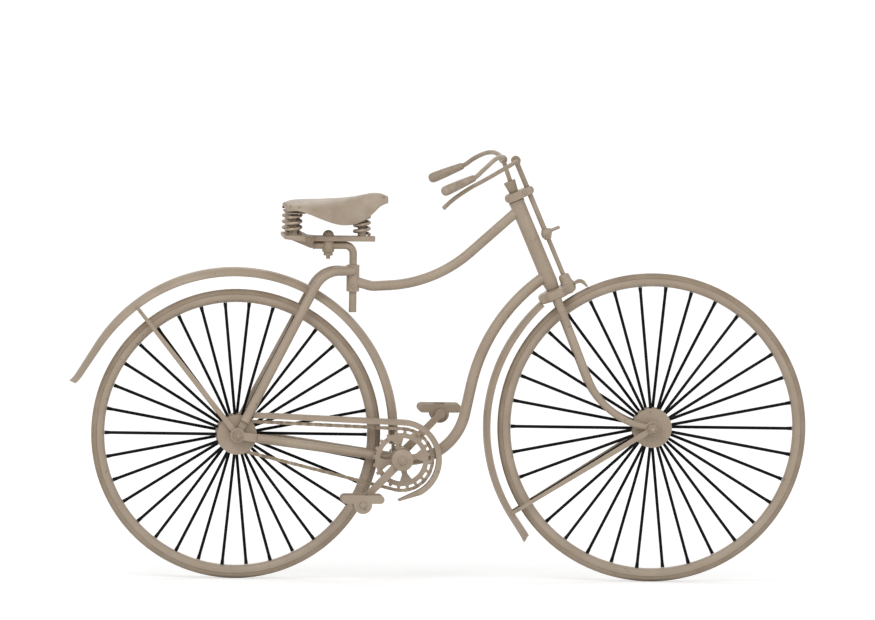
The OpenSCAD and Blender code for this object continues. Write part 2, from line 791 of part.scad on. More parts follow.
// Cantle plate under the rear edge of the leather, and the nose plate with its block
module saddle_plates() {
    color("#b8b4ac") placed_seat() {
        translate([0, 0, cantle_z]) linear_extrude(cantle_t) polygon([
            [121, -58], [132, -86], [147, -95], [154, -88], [172, -86],
            [172, 86], [154, 88], [147, 95], [132, 86], [121, 58]
        ]);
        translate([304, -18, nose_z]) cube([60, 36, 4]);
        translate([322, -8, nose_z]) cube([28, 16, 25]);
    }
}

module rear_axle() {
    color("#b8b4ac") placed() {
        across(rear_axle_at, -rear_nut_y - nut_t - 8, rear_nut_y + nut_t + 8, axle_d);
        for (side = [-1, 1]) {
            y = side * (rear_nut_y + nut_t / 2);
            hex_across(rear_axle_at, y - nut_t / 2, y + nut_t / 2, nut_d);
        }
    }
}

// Rear wheel
module rear_tyre() {
    color("#5a534d") placed() tyre_ring(rear_axle_at, rear_r);
}

module rear_rim() {
    color("#a49484") placed() rim_ring(rear_axle_at, rear_r);
}

module rear_spokes() {
    color("#1c1a19") placed() spoke_set(rear_axle_at, rear_r);
}

module rear_hub() {
    color("#a49484") placed() {
        hub_body(rear_axle_at, rear_eye_y - 6, rear_eye_y - 3);
        difference() {
            across(rear_axle_at, -rear_eye_y + 4.2, -rear_eye_y + 6, flange_d);
            across(rear_axle_at, -rear_eye_y, rear_eye_y, barrel_d - 10);
        }
    }
}

module rear_sprocket() {
    color("#a49484") placed() upright(rear_axle_at - [0, chain_y - tooth_t / 2, 0]) linear_extrude(tooth_t)
        difference() {
            toothed(sprocket_teeth);
            circle(d = barrel_d - 8 + 2 * seat_gap);
        }
}

// Cranks, drawn with the left crank up and forward
module crank_spindle() {
    color("#b8b4ac") placed() across(bracket, -crank_y - crank_t - 1, crank_y + crank_t + 1, spindle_d);
}

module chainwheel() {
    tip = tip_r(chainwheel_teeth);
    inner = tip - tooth_h - 13;
    color("#a49484") placed() upright(bracket - [0, chain_y - tooth_t / 2, 0]) rotate([0, 0, 12]) linear_extrude(tooth_t)
        difference() {
            union() {
                difference() {
                    toothed(chainwheel_teeth);
                    circle(r = inner);
                }
                circle(r = 28);
                for (i = [0:3]) {
                    rotate(90 * i)
                        polygon([[20, -9], [38, -7], [inner + 2, -18], [inner + 2, 18], [38, 7], [20, 9]]);
                }
            }
            circle(d = spindle_d + 2 * seat_gap);
        }
}

crank_tip = crank_len * [cos(crank_angle), 0, sin(crank_angle)];
module crank(side) {
    at = bracket + side * crank_tip;
    y1 = side > 0 ? crank_y : -crank_y - crank_t;
    color("#a49484") placed() difference() {
        union() {
            translate([bracket_x, y1 + crank_t, bracket_z]) rotate([90, 0, 0])
                rotate(side > 0 ? crank_angle : crank_angle + 180) linear_extrude(crank_t) {
                    circle(r = 24);
                    translate([crank_len, 0]) circle(r = 13);
                    polygon([[0, -11], [crank_len, -8.5], [crank_len, 8.5], [0, 11]]);
                }
            across(at, side > 0 ? crank_y + 1 : -pedal_y - pedal_w - 6, side > 0 ? pedal_y + pedal_w + 6 : -crank_y - 1,
                pedal_pin_d);
        }
        across(bracket, -200, 200, spindle_d + 2 * seat_gap);
    }
}

module right_crank() {
    crank(-1);
}

module left_crank() {
    crank(1);
}

// Pedal plate outline: a long pad with round ends, raised over a half disc about the pin
pad_rise = pad_h / 2 + 3;
module pedal_outline() {
    translate([-pad_len / 2 + pad_h / 2, pad_rise - pad_h / 2]) square([pad_len - pad_h, pad_h]);
    for (side = [-1, 1]) {
        translate([side * (pad_len - pad_h) / 2, pad_rise]) circle(d = pad_h);
    }
    intersection() {
        circle(r = 24);
        translate([-30, -30]) square([60, 30 + pad_rise]);
    }
}

module pedal_frame(side) {
    at = bracket + side * crank_tip;
    y1 = side > 0 ? pedal_y : -pedal_y - pedal_w;
    color("#a49484") placed() difference() {
        union() {
            for (y = [y1, y1 + pedal_w - 5]) {
                translate([at.x, y + 5, at.z]) rotate([90, 0, 0]) linear_extrude(5) pedal_outline();
            }
            across(at, y1, y1 + pedal_w, 20);
        }
        across(at, y1 - 1, y1 + pedal_w + 1, pedal_pin_d + 2 * run_fit);
    }
}

module pedal_pads(side) {
    at = bracket + side * crank_tip;
    y1 = side > 0 ? pedal_y : -pedal_y - pedal_w;
    color("#5a534d") placed() for (end = [-1, 1]) {
        translate([at.x, y1 + pedal_w - 5 - seat_gap, at.z + pad_rise]) rotate([90, 0, 0])
            linear_extrude(pedal_w - 10 - 2 * seat_gap) {
                translate([end * (pad_len - pad_h) / 2, 0]) circle(d = pad_h);
                translate([end > 0 ? 14 : -(pad_len - pad_h) / 2, -pad_h / 2])
                    square([(pad_len - pad_h) / 2 - 14, pad_h]);
            }
    }
}

module right_pedal() {
    pedal_frame(-1);
}

module left_pedal() {
    pedal_frame(1);
}

module right_pads() {
    pedal_pads(-1);
}

module left_pads() {
    pedal_pads(1);
}

// Front wheel
module front_tyre() {
    color("#5a534d") placed() tyre_ring(front_axle_at, front_r);
}

module front_rim() {
    color("#a49484") placed() rim_ring(front_axle_at, front_r);
}

module front_spokes() {
    color("#1c1a19") placed() spoke_set(front_axle_at, front_r);
}

module front_hub() {
    color("#a49484") placed() hub_body(front_axle_at, front_eye_y - 6, front_eye_y - 6);
}

module front_axle() {
    color("#b8b4ac") placed() {
        across(front_axle_at, -front_nut_y - nut_t - 8, front_nut_y + nut_t + 8, axle_d);
        for (side = [-1, 1]) {
            y = side * (front_nut_y + nut_t / 2);
            hex_across(front_axle_at, y - nut_t / 2, y + nut_t / 2, nut_d);
        }
    }
}

// Fork
blade_top = in_head_pt(0, crown_top);
blade_knee = in_head_pt(-10, 74);
module blade_path(side, grow) {
    y = [0, side * blade_y, 0];
    d1 = unit(blade_knee - blade_top);
    d2 = unit(front_axle_at - blade_knee);
    r = 205;
    run = r * tan(acos(d1 * d2) / 2);
    from = blade_knee - run * d1;
    join = from - 12 * d1 + y;
    bent([join + joint_gap / 2 * d1, blade_knee + y, front_axle_at + y], [r], blade_end_d + 2 * grow);
    rod(blade_top + y, join - joint_gap / 2 * d1, blade_d + 2 * grow, blade_end_d + 2 * grow);
    sleeve(join, d1, blade_end_d + 2 * grow);
}

module fork_blade(side) {
    y = side > 0 ? front_eye_y : -front_eye_y - front_eye_t;
    color("#a49484") placed() difference() {
        union() {
            blade_path(side, 0);
            across(front_axle_at, y, y + front_eye_t, eye_d);
        }
        across(front_axle_at, -120, 120, axle_d + 2 * seat_gap);
    }
}

module fork_blade_right() {
    fork_blade(-1);
}

module fork_blade_left() {
    fork_blade(1);
}

module crown_solid(grow) {
    in_head() translate([0, 0, crown_low - grow]) {
        linear_extrude(crown_t + 2 * grow) {
            translate([-43 - grow, -40]) square([70 + 2 * grow, 80]);
            translate([-20 - grow, -blade_y - 13 - grow]) square([40 + 2 * grow, 2 * blade_y + 26 + 2 * grow]);
            translate([0, -16]) square([rod_offset, 32]);
            translate([rod_offset, 0]) circle(d = 34 + 2 * grow);
        }
    }
}

module fork_crown() {
    color("#a49484") placed() difference() {
        union() {
            crown_solid(0);
            in_head() translate([rod_offset, 0, crown_low]) cylinder(h = 54, d = 30);
            in_head() translate([0, 0, crown_low]) cylinder(h = clip_top - crown_low, d = head_bore - 2 * run_fit);
        }
        in_head() translate([rod_offset, 0, crown_low - 1]) cylinder(h = 80, d = rod_low_d + 2 * seat_gap);
        blade_path(-1, seat_gap);
        blade_path(1, seat_gap);
    }
}

module head_clip() {
    color("#a49484") placed() in_head() translate([0, 0, clip_low]) difference() {
        intersection() {
            translate([0, 0, -1]) linear_extrude(clip_t + 2) lobes(27.3, 15.3, rod_offset);
            translate([-26.5 + clip_t / 2, 40, clip_t / 2]) rotate([90, 0, 0]) linear_extrude(80)
                lobes(clip_t / 2, clip_t / 2, rod_offset + 41.5 - clip_t);
        }
        translate([0, 0, -5]) cylinder(h = clip_t + 10, d = head_bore - 2 * run_fit + 2 * seat_gap);
        translate([rod_offset, 0, -5]) cylinder(h = clip_t + 10, d = rod_d + 2 * seat_gap);
    }
}

stem_from = in_head_pt(4, cup_top - 16);
module stem_cup() {
    color("#b8b4ac") placed() difference() {
        in_head() translate([3, 0, clip_top + seat_gap]) cylinder(h = cup_h - seat_gap, d1 = 24, d2 = 33);
        rod(stem_from, bar_at, 12 + 2 * seat_gap, 12 + 2 * seat_gap);
    }
}

module stem() {
    color("#b8b4ac") placed() difference() {
        union() {
            rod(stem_from, bar_at, 12, 12);
            across(bar_at, -11, 11, bar_d + 8);
        }
        across(bar_at, -30, 30, bar_d + 2 * seat_gap);
    }
}

// Handlebar path on the left side, from the middle to the grip's end
bar_bend = bar_at + [-20, 120, 9];
grip_from = bar_at + [-88.7, grip_y - 24, -33];
grip_end = bar_at + [-165.2, grip_y, -66.5];
bar_corner = grip_from - 30 * unit(grip_end - grip_from);
bar_path = [
    grip_end, bar_corner, bar_bend, bar_at + [0, 18, 0],
    bar_at + [0, -18, 0], mirrored(bar_bend, -1), mirrored(bar_corner, -1), mirrored(grip_end, -1)
];
module handlebar() {
    color("#b8b4ac") placed() bent(bar_path, [60, 90, 40, 40, 90, 60], bar_d);
}

// Turned grip, its outline from the front end back
// columns: distance along the bar, radius
grip_rows = [[0, 9], [3, 11], [10, 12], [30, 12.5], [72, 12], [86, 12.8], [92, 12.6], [96, 11], [98, 8]];
module grip(side) {
    d = mirrored(unit(grip_end - grip_from), side);
    x = side_of(d);
    scale_r = grip_d / 25;
    end = [for (i = [len(grip_rows) - 1:-1:0]) [grip_rows[i][1] * scale_r, grip_rows[i][0]]];
    color("#8f7a66") placed() multmatrix(frame_of(x, cross(d, x), d, mirrored(grip_end, side) - 86 * d)) difference() {
        rotate_extrude() polygon(concat([[0, 0]], [[0, 98]], end));
        translate([0, 0, -1]) cylinder(h = 87 + seat_gap, d = bar_d + 2 * seat_gap);
    }
}

module grip_right() {
    grip(-1);
}

module grip_left() {
    grip(1);
}

// Plunger brake on the front tyre
rod_low_s = crown_low - 1;
rod_eye_s = cup_top + 44;
rod_step_s = head_low + 140;
module brake_rod() {
    color("#b8b4ac") placed() {
        rod(in_head_pt(rod_offset, rod_low_s), in_head_pt(rod_offset, rod_step_s + 10), rod_low_d, rod_low_d);
        rod(in_head_pt(rod_offset, rod_step_s), in_head_pt(rod_offset, rod_eye_s), rod_d, rod_d);
        across(in_head_pt(rod_offset, rod_eye_s), -10, 10, 25);
    }
}

module rod_clip() {
    low = in_head_pt(rod_offset, rod_step_s - 14);
    high = in_head_pt(rod_offset, rod_step_s + 14);
    color("#a49484") placed() difference() {
        union() {
            rod(in_head_pt(rod_offset, rod_step_s - 7), in_head_pt(rod_offset, rod_step_s + 7), 27, 27);
            rod(low, in_head_pt(rod_offset, rod_step_s), 19, 26);
            rod(in_head_pt(rod_offset, rod_step_s), high, 26, 19);
            rod(in_head_pt(rod_offset, rod_step_s + 4), in_head_pt(rod_offset + 15.5, rod_step_s + 4), 15, 15);
            rod(in_head_pt(rod_offset + 10, rod_step_s + 4), in_head_pt(rod_offset + 39.5, rod_step_s + 4),
                lamp_pin_d, lamp_pin_d);
        }
        rod(in_head_pt(rod_offset, rod_step_s - 30), in_head_pt(rod_offset, rod_step_s), rod_low_d + 2 * seat_gap,
            rod_low_d + 2 * seat_gap);
        rod(in_head_pt(rod_offset, rod_step_s - seat_gap), in_head_pt(rod_offset, rod_step_s + 30),
            rod_d + 2 * seat_gap, rod_d + 2 * seat_gap);
    }
}

// Brake finger: springs from the crown, rises over a hump and reaches down to the tyre
module brake_spoon() {
    edge = rod_offset + 17 + seat_gap;
    low = crown_low + 12;
    color("#b8b4ac") placed() in_head() translate([edge, 12, low]) rotate([90, 0, 0]) linear_extrude(24)
        polygon([[0, 2], [6, 5], [14, 4], [20, -1], [26, -13], [32, -14], [28, 4], [22, 11], [14, 14], [6, 13],
            [0, 10]]);
}

lever_from = in_head_pt(rod_offset, rod_eye_s) + [0, -11.4, 0];
module brake_lever() {
    color("#b8b4ac") placed()
        bent([
            lever_from, lever_from + [-6, -24, -4], bar_at + [-29.7, -130, -33.5],
            bar_at + [-99.7, -grip_y + 46, -64], bar_at + [-137, -grip_y + 34, -88],
            bar_at + [-169, -grip_y + 28, -114]
        ], [20, 60, 60, 30], 9);
}

module front_mudguard() {
    color("#a49484") placed() difference() {
        guard_arc(front_axle_at, front_guard_r, 131, 213, 70, 0);
        crown_solid(seat_gap);
        blade_path(-1, 1);
        blade_path(1, 1);
    }
}

front_strap_end = front_axle_at + (front_guard_r - guard_depth + 6) * [cos(212), 0, sin(212)];
module front_mudguard_stays() {
    color("#a49484") placed() guard_stays(front_axle_at, front_strap_end, front_strap_y);
}

head_tube();
top_tube();
down_tube();
bracket_shell();
chain_stay_right();
chain_stay_left();
seat_stay_right();
seat_stay_left();
seat_lug();
stay_bridge();
rear_mudguard();
rear_mudguard_stays();
guard_bracket();
chain_guard();
chain_guard_clip();
chain();
seat_post();
saddle_clamp();
saddle_frame();
saddle_springs();
saddle_plates();
saddle_leather();
rear_axle();
rear_tyre();
rear_rim();
rear_spokes();
rear_hub();
rear_sprocket();
crank_spindle();
chainwheel();
right_crank();
left_crank();
right_pedal();
left_pedal();
right_pads();
left_pads();
front_tyre();
front_rim();
front_spokes();
front_hub();
front_axle();
fork_crown();
fork_blade_right();
fork_blade_left();
head_clip();
stem_cup();
stem();
handlebar();
grip_right();
grip_left();
brake_rod();
rod_clip();
brake_spoon();
brake_lever();
front_mudguard();
front_mudguard_stays();
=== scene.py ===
"""Looks of an early safety bicycle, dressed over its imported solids.

Lengths in the classes are millimetres from the ground under the rear axle, as the solids were drawn.
Forward is +X, the rider's left is +Y and up is +Z. Meshes are in metres from the rider's seat.
"""

from __future__ import annotations

import json
import logging
import math
from dataclasses import dataclass, field
from enum import Enum
from typing import Any, Sequence

import bmesh
import bpy
from mathutils import Matrix, Vector

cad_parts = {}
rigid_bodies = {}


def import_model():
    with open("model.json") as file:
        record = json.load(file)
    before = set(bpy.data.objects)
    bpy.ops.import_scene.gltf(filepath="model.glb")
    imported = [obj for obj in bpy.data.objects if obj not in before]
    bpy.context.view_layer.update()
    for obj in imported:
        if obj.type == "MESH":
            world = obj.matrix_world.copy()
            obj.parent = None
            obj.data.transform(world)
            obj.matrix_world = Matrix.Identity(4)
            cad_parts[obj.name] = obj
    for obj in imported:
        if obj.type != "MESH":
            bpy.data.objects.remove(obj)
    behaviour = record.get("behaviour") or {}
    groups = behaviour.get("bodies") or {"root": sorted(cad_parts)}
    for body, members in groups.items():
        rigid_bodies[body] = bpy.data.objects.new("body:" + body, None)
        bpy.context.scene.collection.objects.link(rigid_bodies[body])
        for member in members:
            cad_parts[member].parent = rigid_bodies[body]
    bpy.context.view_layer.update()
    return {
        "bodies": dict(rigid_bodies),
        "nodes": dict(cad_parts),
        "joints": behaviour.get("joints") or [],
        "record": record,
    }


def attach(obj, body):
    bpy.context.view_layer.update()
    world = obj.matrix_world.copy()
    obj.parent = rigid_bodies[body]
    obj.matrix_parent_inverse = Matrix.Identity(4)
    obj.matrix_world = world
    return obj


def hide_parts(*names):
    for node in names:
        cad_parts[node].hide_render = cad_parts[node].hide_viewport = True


LOG = logging.getLogger("safety_bicycle")
MM = 0.001
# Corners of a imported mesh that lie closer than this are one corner.
MERGE_MM = 0.002
SEAT = Vector((212.0, 0.0, 1000.0))
IMAGE_W, IMAGE_H = 875, 620
Pair = tuple[float, float]
Point = tuple[float, float, float]
Rows = tuple[Pair, ...]
Shape = tuple[list[Vector], list[list[int]]]


class Body(Enum):
    """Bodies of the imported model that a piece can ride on."""

    FRAME = "frame"
    STEERING = "steering"
    REAR_WHEEL = "rear_wheel"
    FRONT_WHEEL = "front_wheel"
    CRANK = "crank"
    RIGHT_PEDAL = "right_pedal"
    LEFT_PEDAL = "left_pedal"


class Side(Enum):
    """Sides of the bicycle, with the sign of Y on each."""

    RIGHT = -1
    LEFT = 1


def place(x: float, y: float, z: float) -> Vector:
    """Turns a drawing point into the model's metres.

    Args:
        x: millimetres ahead of the rear axle.
        y: millimetres to the left of the middle.
        z: millimetres above the ground.

    Returns:
        The point in metres from the rider's seat.
    """
    return (Vector((x, y, z)) - SEAT) * MM


def linear(code: str) -> tuple[float, float, float, float]:
    """Turns an sRGB hex colour into linear light.

    Args:
        code: six hex digits after a hash.

    Returns:
        Red, green, blue and an alpha of one.
    """
    parts = [int(code[i : i + 2], 16) / 255 for i in (1, 3, 5)]
    red, green, blue = (c / 12.92 if c <= 0.04045 else ((c + 0.055) / 1.055) ** 2.4 for c in parts)
    return (red, green, blue, 1.0)


def add(
    tree: bpy.types.NodeTree, kind: str, links: dict[Any, Any] | None = None, **settings: Any
) -> bpy.types.Node:
    """Adds one node with its settings and links.

    Args:
        tree: the tree that gets the node.
        kind: Blender's type name of the node.
        links: input name or index to a socket, or to a plain value.
        settings: attributes of the node.

    Returns:
        The new node.
    """
    node = tree.nodes.new(kind)
    for name, value in settings.items():
        setattr(node, name, value)
    for key, value in (links or {}).items():
        if isinstance(value, bpy.types.NodeSocket):
            tree.links.new(value, node.inputs[key])
        else:
            node.inputs[key].default_value = value
    return node


def mesh_piece(
    name: str, points: Sequence[Vector], faces: Sequence[Sequence[int]], material: bpy.types.Material
) -> bpy.types.Object:
    """Makes a smooth mesh object with its faces turned outwards.

    Args:
        name: object name.
        points: corners in metres.
        faces: corner numbers of each face.
        material: its only material.

    Returns:
        The linked object.
    """
    mesh = bpy.data.meshes.new(name)
    mesh.from_pydata([tuple(p) for p in points], [], [tuple(f) for f in faces])
    work = bmesh.new()
    work.from_mesh(mesh)
    bmesh.ops.recalc_face_normals(work, faces=work.faces)
    work.to_mesh(mesh)
    work.free()
    mesh.shade_smooth()
    mesh.materials.append(material)
    piece = bpy.data.objects.new(name, mesh)
    bpy.context.scene.collection.objects.link(piece)
    return piece


def frame_about(axis: Vector) -> Matrix:
    """Gives a turning that carries Z onto an axis.

    Args:
        axis: the direction that Z takes.

    Returns:
        A 3 by 3 turning matrix.
    """
    return axis.to_track_quat("Z", "Y").to_matrix()


def skin_faces(rings: int, sides: int) -> list[list[int]]:
    """Gives the faces between rings of points that follow each other.

    Args:
        rings: number of rings.
        sides: points in each ring.

    Returns:
        Corner numbers of the faces, without the ends.
    """
    return [
        [r * sides + i, r * sides + (i + 1) % sides, (r + 1) * sides + (i + 1) % sides, (r + 1) * sides + i]
        for r in range(rings - 1)
        for i in range(sides)
    ]


def round_ends(rings: int, sides: int) -> list[list[int]]:
    """Gives one face on the first ring of a bar and one on its last.

    Args:
        rings: number of rings.
        sides: points in each ring.

    Returns:
        Corner numbers of the two faces.
    """
    return [list(range(sides)), list(range((rings - 1) * sides, rings * sides))]


def sheet_ends(rings: int, sides: int) -> list[list[int]]:
    """Gives the end faces of a bent sheet whose rings go out along one skin and back along the other.

    Args:
        rings: number of rings.
        sides: points in each ring.

    Returns:
        Corner numbers of the faces that close the first and the last ring.
    """
    return [
        [first + k, first + k + 1, first + sides - 2 - k, first + sides - 1 - k]
        for first in (0, (rings - 1) * sides)
        for k in range(sides // 2 - 1)
    ]


def turned_points(
    rows: Sequence[Pair], at: Vector, axis: Vector, sides: int, closed: bool
) -> Shape:
    """Turns an outline about an axis, as a lathe does.

    Args:
        rows: distance along the axis and radius, in millimetres.
        at: where the axis starts, in metres.
        axis: its direction.
        sides: steps round the axis.
        closed: True if the outline's last row joins its first, as in a ring.

    Returns:
        The points and the faces.
    """
    turning = frame_about(axis)
    points: list[Vector] = []
    for along, radius in rows:
        for i in range(sides):
            a = 2 * math.pi * i / sides
            points.append(at + turning @ Vector((radius * math.cos(a), radius * math.sin(a), along)) * MM)
    count = len(rows)
    faces = skin_faces(count, sides)
    if closed:
        last = (count - 1) * sides
        faces += [[last + i, last + (i + 1) % sides, (i + 1) % sides, i] for i in range(sides)]
    else:
        faces += round_ends(count, sides)
    return points, faces


def joined(*shapes: Shape) -> Shape:
    """Puts several shapes together in one list of points and one of faces.

    Args:
        shapes: points and faces of each shape.

    Returns:
        The points and the faces of all.
    """
    points: list[Vector] = []
    faces: list[list[int]] = []
    for theirs, corners in shapes:
        faces += [[k + len(points) for k in face] for face in corners]
        points += theirs
    return points, faces


def through(before: Any, start: Any, end: Any, after: Any, f: float) -> Any:
    """Gives a place on the easy curve between the middle two of four values in a row.

    Args:
        before: the value ahead of the start.
        start: the value where the share is 0.
        end: the value where the share is 1.
        after: the value past the end.
        f: share of the way from start to end.

    Returns:
        A number or a vector, as the values are.
    """
    square = 2 * before - 5 * start + 4 * end - after
    cube = 3 * start - before - 3 * end + after
    return 0.5 * (2 * start + (end - before) * f + square * f**2 + cube * f**3)


def eased(rows: Sequence[Vector], steps: int) -> list[Vector]:
    """Draws an easy curve through points, as a bent tube takes it.

    Args:
        rows: the points in order.
        steps: pieces between two points.

    Returns:
        Points along the curve.
    """
    last = len(rows) - 1
    line: list[Vector] = []
    for i in range(last):
        before, start, end, after = (rows[max(0, min(last, i + k))] for k in (-1, 0, 1, 2))
        line += [through(before, start, end, after, step / steps) for step in range(steps)]
    return line + [rows[last]]


def between(rows: Sequence[Pair], s: float) -> float:
    """Reads a value off a table on straight lines between its rows.

    Args:
        rows: places in rising order and the value at each.
        s: the place to read at.

    Returns:
        The value there, or the nearest end's value outside the table.
    """
    for (a, low), (b, high) in zip(rows, rows[1:]):
        if s <= b:
            return low + (high - low) * max(0.0, s - a) / (b - a)
    return rows[-1][1]


@dataclass
class Scatter:
    """Small like shapes set at places, made by a Geometry Nodes tree: rivets, nipples, bolts and pins."""

    name: str
    material: bpy.types.Material
    sides: int
    radius_mm: float
    top_radius_mm: float
    height_mm: float
    places: list[tuple[Vector, Vector]] = field(default_factory=list)

    def at(self, point: Vector, aim: Vector) -> None:
        """Adds a place, in metres, and the way that the shape's top points."""
        self.places.append((point, aim.normalized()))

    def _tree(self) -> bpy.types.NodeTree:
        """Builds the tree: a tapered pin on each point, turned along the point's own direction.

        Returns:
            The node group.
        """
        tree = bpy.data.node_groups.new(self.name + "_tree", "GeometryNodeTree")
        tree.interface.new_socket("Geometry", in_out="INPUT", socket_type="NodeSocketGeometry")
        for label in ("Radius", "Top Radius", "Height"):
            tree.interface.new_socket(label, in_out="INPUT", socket_type="NodeSocketFloat")
        tree.interface.new_socket("Geometry", in_out="OUTPUT", socket_type="NodeSocketGeometry")
        given = add(tree, "NodeGroupInput").outputs
        pin = add(
            tree,
            "GeometryNodeMeshCone",
            {"Vertices": self.sides, "Radius Bottom": given["Radius"], "Radius Top": given["Top Radius"],
             "Depth": given["Height"]},
        )
        aim = add(tree, "GeometryNodeInputNamedAttribute", {"Name": "aim"}, data_type="FLOAT_VECTOR")
        turn = add(
            tree, "FunctionNodeAlignRotationToVector", {"Vector": aim.outputs["Attribute"]}, axis="Z"
        )
        copies = add(
            tree,
            "GeometryNodeInstanceOnPoints",
            {"Points": given["Geometry"], "Instance": pin.outputs["Mesh"],
             "Rotation": turn.outputs["Rotation"]},
        )
        real = add(tree, "GeometryNodeRealizeInstances", {"Geometry": copies.outputs["Instances"]})
        flat = add(
            tree,
            "GeometryNodeSetShadeSmooth",
            {"Geometry": real.outputs["Geometry"], "Shade Smooth": False},
        )
        done = add(
            tree,
            "GeometryNodeSetMaterial",
            {"Geometry": flat.outputs["Geometry"], "Material": self.material},
        )
        add(tree, "NodeGroupOutput", {"Geometry": done.outputs["Geometry"]})
        return tree

    def build(self) -> bpy.types.Object:
        """Runs the tree over the places and keeps its result as one plain mesh.

        Returns:
            The finished object.
        """
        mesh = bpy.data.meshes.new(self.name + "_points")
        mesh.from_pydata([tuple(p) for p, _ in self.places], [], [])
        aims = mesh.attributes.new("aim", "FLOAT_VECTOR", "POINT")
        for slot, (_, aim) in zip(aims.data, self.places):
            slot.vector = aim
        sizes = {"Radius": self.radius_mm, "Top Radius": self.top_radius_mm, "Height": self.height_mm}
        return run_tree(self.name, mesh, self._tree(), {key: value * MM for key, value in sizes.items()})


@dataclass
class Sweep:
    """A round wire along a path, made by a Geometry Nodes tree."""

    name: str
    material: bpy.types.Material
    radius_mm: float
    sides: int = 12
    paths: list[list[Vector]] = field(default_factory=list)

    def along(self, points: Sequence[Vector]) -> None:
        """Adds one path, in metres."""
        self.paths.append(list(points))

    def _tree(self) -> bpy.types.NodeTree:
        """Builds the tree: edges to curves, and a circle swept along each of them.

        Returns:
            The node group.
        """
        tree = bpy.data.node_groups.new(self.name + "_tree", "GeometryNodeTree")
        tree.interface.new_socket("Geometry", in_out="INPUT", socket_type="NodeSocketGeometry")
        tree.interface.new_socket("Radius", in_out="INPUT", socket_type="NodeSocketFloat")
        tree.interface.new_socket("Geometry", in_out="OUTPUT", socket_type="NodeSocketGeometry")
        given = add(tree, "NodeGroupInput").outputs
        path = add(tree, "GeometryNodeMeshToCurve", {"Mesh": given["Geometry"]})
        ring = add(
            tree,
            "GeometryNodeCurvePrimitiveCircle",
            {"Resolution": self.sides, "Radius": given["Radius"]},
        )
        swept = add(
            tree,
            "GeometryNodeCurveToMesh",
            {"Curve": path.outputs["Curve"], "Profile Curve": ring.outputs["Curve"], "Fill Caps": True},
        )
        smooth = add(
            tree,
            "GeometryNodeSetShadeSmooth",
            {"Geometry": swept.outputs["Mesh"], "Shade Smooth": True},
        )
        real = add(tree, "GeometryNodeRealizeInstances", {"Geometry": smooth.outputs["Geometry"]})
        done = add(
            tree,
            "GeometryNodeSetMaterial",
            {"Geometry": real.outputs["Geometry"], "Material": self.material},
        )
        add(tree, "NodeGroupOutput", {"Geometry": done.outputs["Geometry"]})
        return tree

    def build(self) -> bpy.types.Object:
        """Runs the tree over the paths and keeps its result as one plain mesh.

        Returns:
            The finished object.
        """
        points = [p for path in self.paths for p in path]
        edges: list[tuple[int, int]] = []
        start = 0
        for path in self.paths:
            edges += [(start + i, start + i + 1) for i in range(len(path) - 1)]
            start += len(path)
        mesh = bpy.data.meshes.new(self.name + "_path")
        mesh.from_pydata([tuple(p) for p in points], edges, [])
        return run_tree(self.name, mesh, self._tree(), {"Radius": self.radius_mm * MM})


def run_tree(
    name: str, mesh: bpy.types.Mesh, tree: bpy.types.NodeTree, inputs: dict[str, float]
) -> bpy.types.Object:
    """Runs a Geometry Nodes tree on a mesh and keeps the result.

    Args:
        name: name of the finished object.
        mesh: points or edges that the tree works on.
        tree: the node group.
        inputs: named inputs and their values.

    Returns:
        A plain mesh object without modifiers.
    """
    carrier = bpy.data.objects.new(name + "_carrier", mesh)
    bpy.context.scene.collection.objects.link(carrier)
    modifier = carrier.modifiers.new("tree", "NODES")
    modifier.node_group = tree
    for socket in tree.interface.items_tree:
        if socket.in_out == "INPUT" and socket.name in inputs:
            modifier[socket.identifier] = inputs[socket.name]
    graph = bpy.context.evaluated_depsgraph_get()
    result = bpy.data.meshes.new_from_object(carrier.evaluated_get(graph))
    result.name = name
    bpy.data.objects.remove(carrier)
    piece = bpy.data.objects.new(name, result)
    bpy.context.scene.collection.objects.link(piece)
    return piece


def bake(piece: bpy.types.Object) -> bpy.types.Object:
    """Turns a piece's modifiers into its mesh.

    Args:
        piece: the object with modifiers.

    Returns:
        The same object with a plain mesh.
    """
    graph = bpy.context.evaluated_depsgraph_get()
    mesh = bpy.data.meshes.new_from_object(piece.evaluated_get(graph))
    piece.modifiers.clear()
    piece.data = mesh
    return piece


def edged(piece: bpy.types.Object, degrees: float = 35.0) -> bpy.types.Object:
    """Keeps a smooth piece's corners crisp.

    Args:
        piece: the smooth object.
        degrees: an edge that bends more than this stays a corner.

    Returns:
        The same object.
    """
    piece.data.set_sharp_from_angle(angle=math.radians(degrees))
    return piece


# Bare primed steel under a chip, dry road dust, and old-oil brown for the painted shade in corners, as they
# tint a finish.
CHIP_TINT, DUST_TINT, SHADE_AND_OIL_TINT = "#5F5348", "#B9AC9B", "#4A4036"
# A chip's spacing and a dust cloud's width.
CHIP_MM, DUST_MM = 16, 28
# Values of the cloudy pattern between which patches and chips come in, and of open air (ambient occlusion)
# where painted shade, tinted as oily dirt, goes.
PATCH_RANGE, CHIP_RANGE, SHADE_AND_GRIME_RANGE = (0.3, 0.7), (0.70, 0.73), (0.15, 0.75)
# Rubbed patches are this share of a colour patch.
RUB_SHARE = 0.45
# Heights in metres from the seat between which road dust thins out.
DUST_LOW, DUST_HIGH = -0.98, -0.55


class Grain(Enum):
    """Kinds of surface pattern that a finish can carry."""

    ORANGE_PEEL = "orange_peel"
    PORES = "pores"
    HIDE = "hide"
    STREAKS = "streaks"
    SCRATCHES = "scratches"


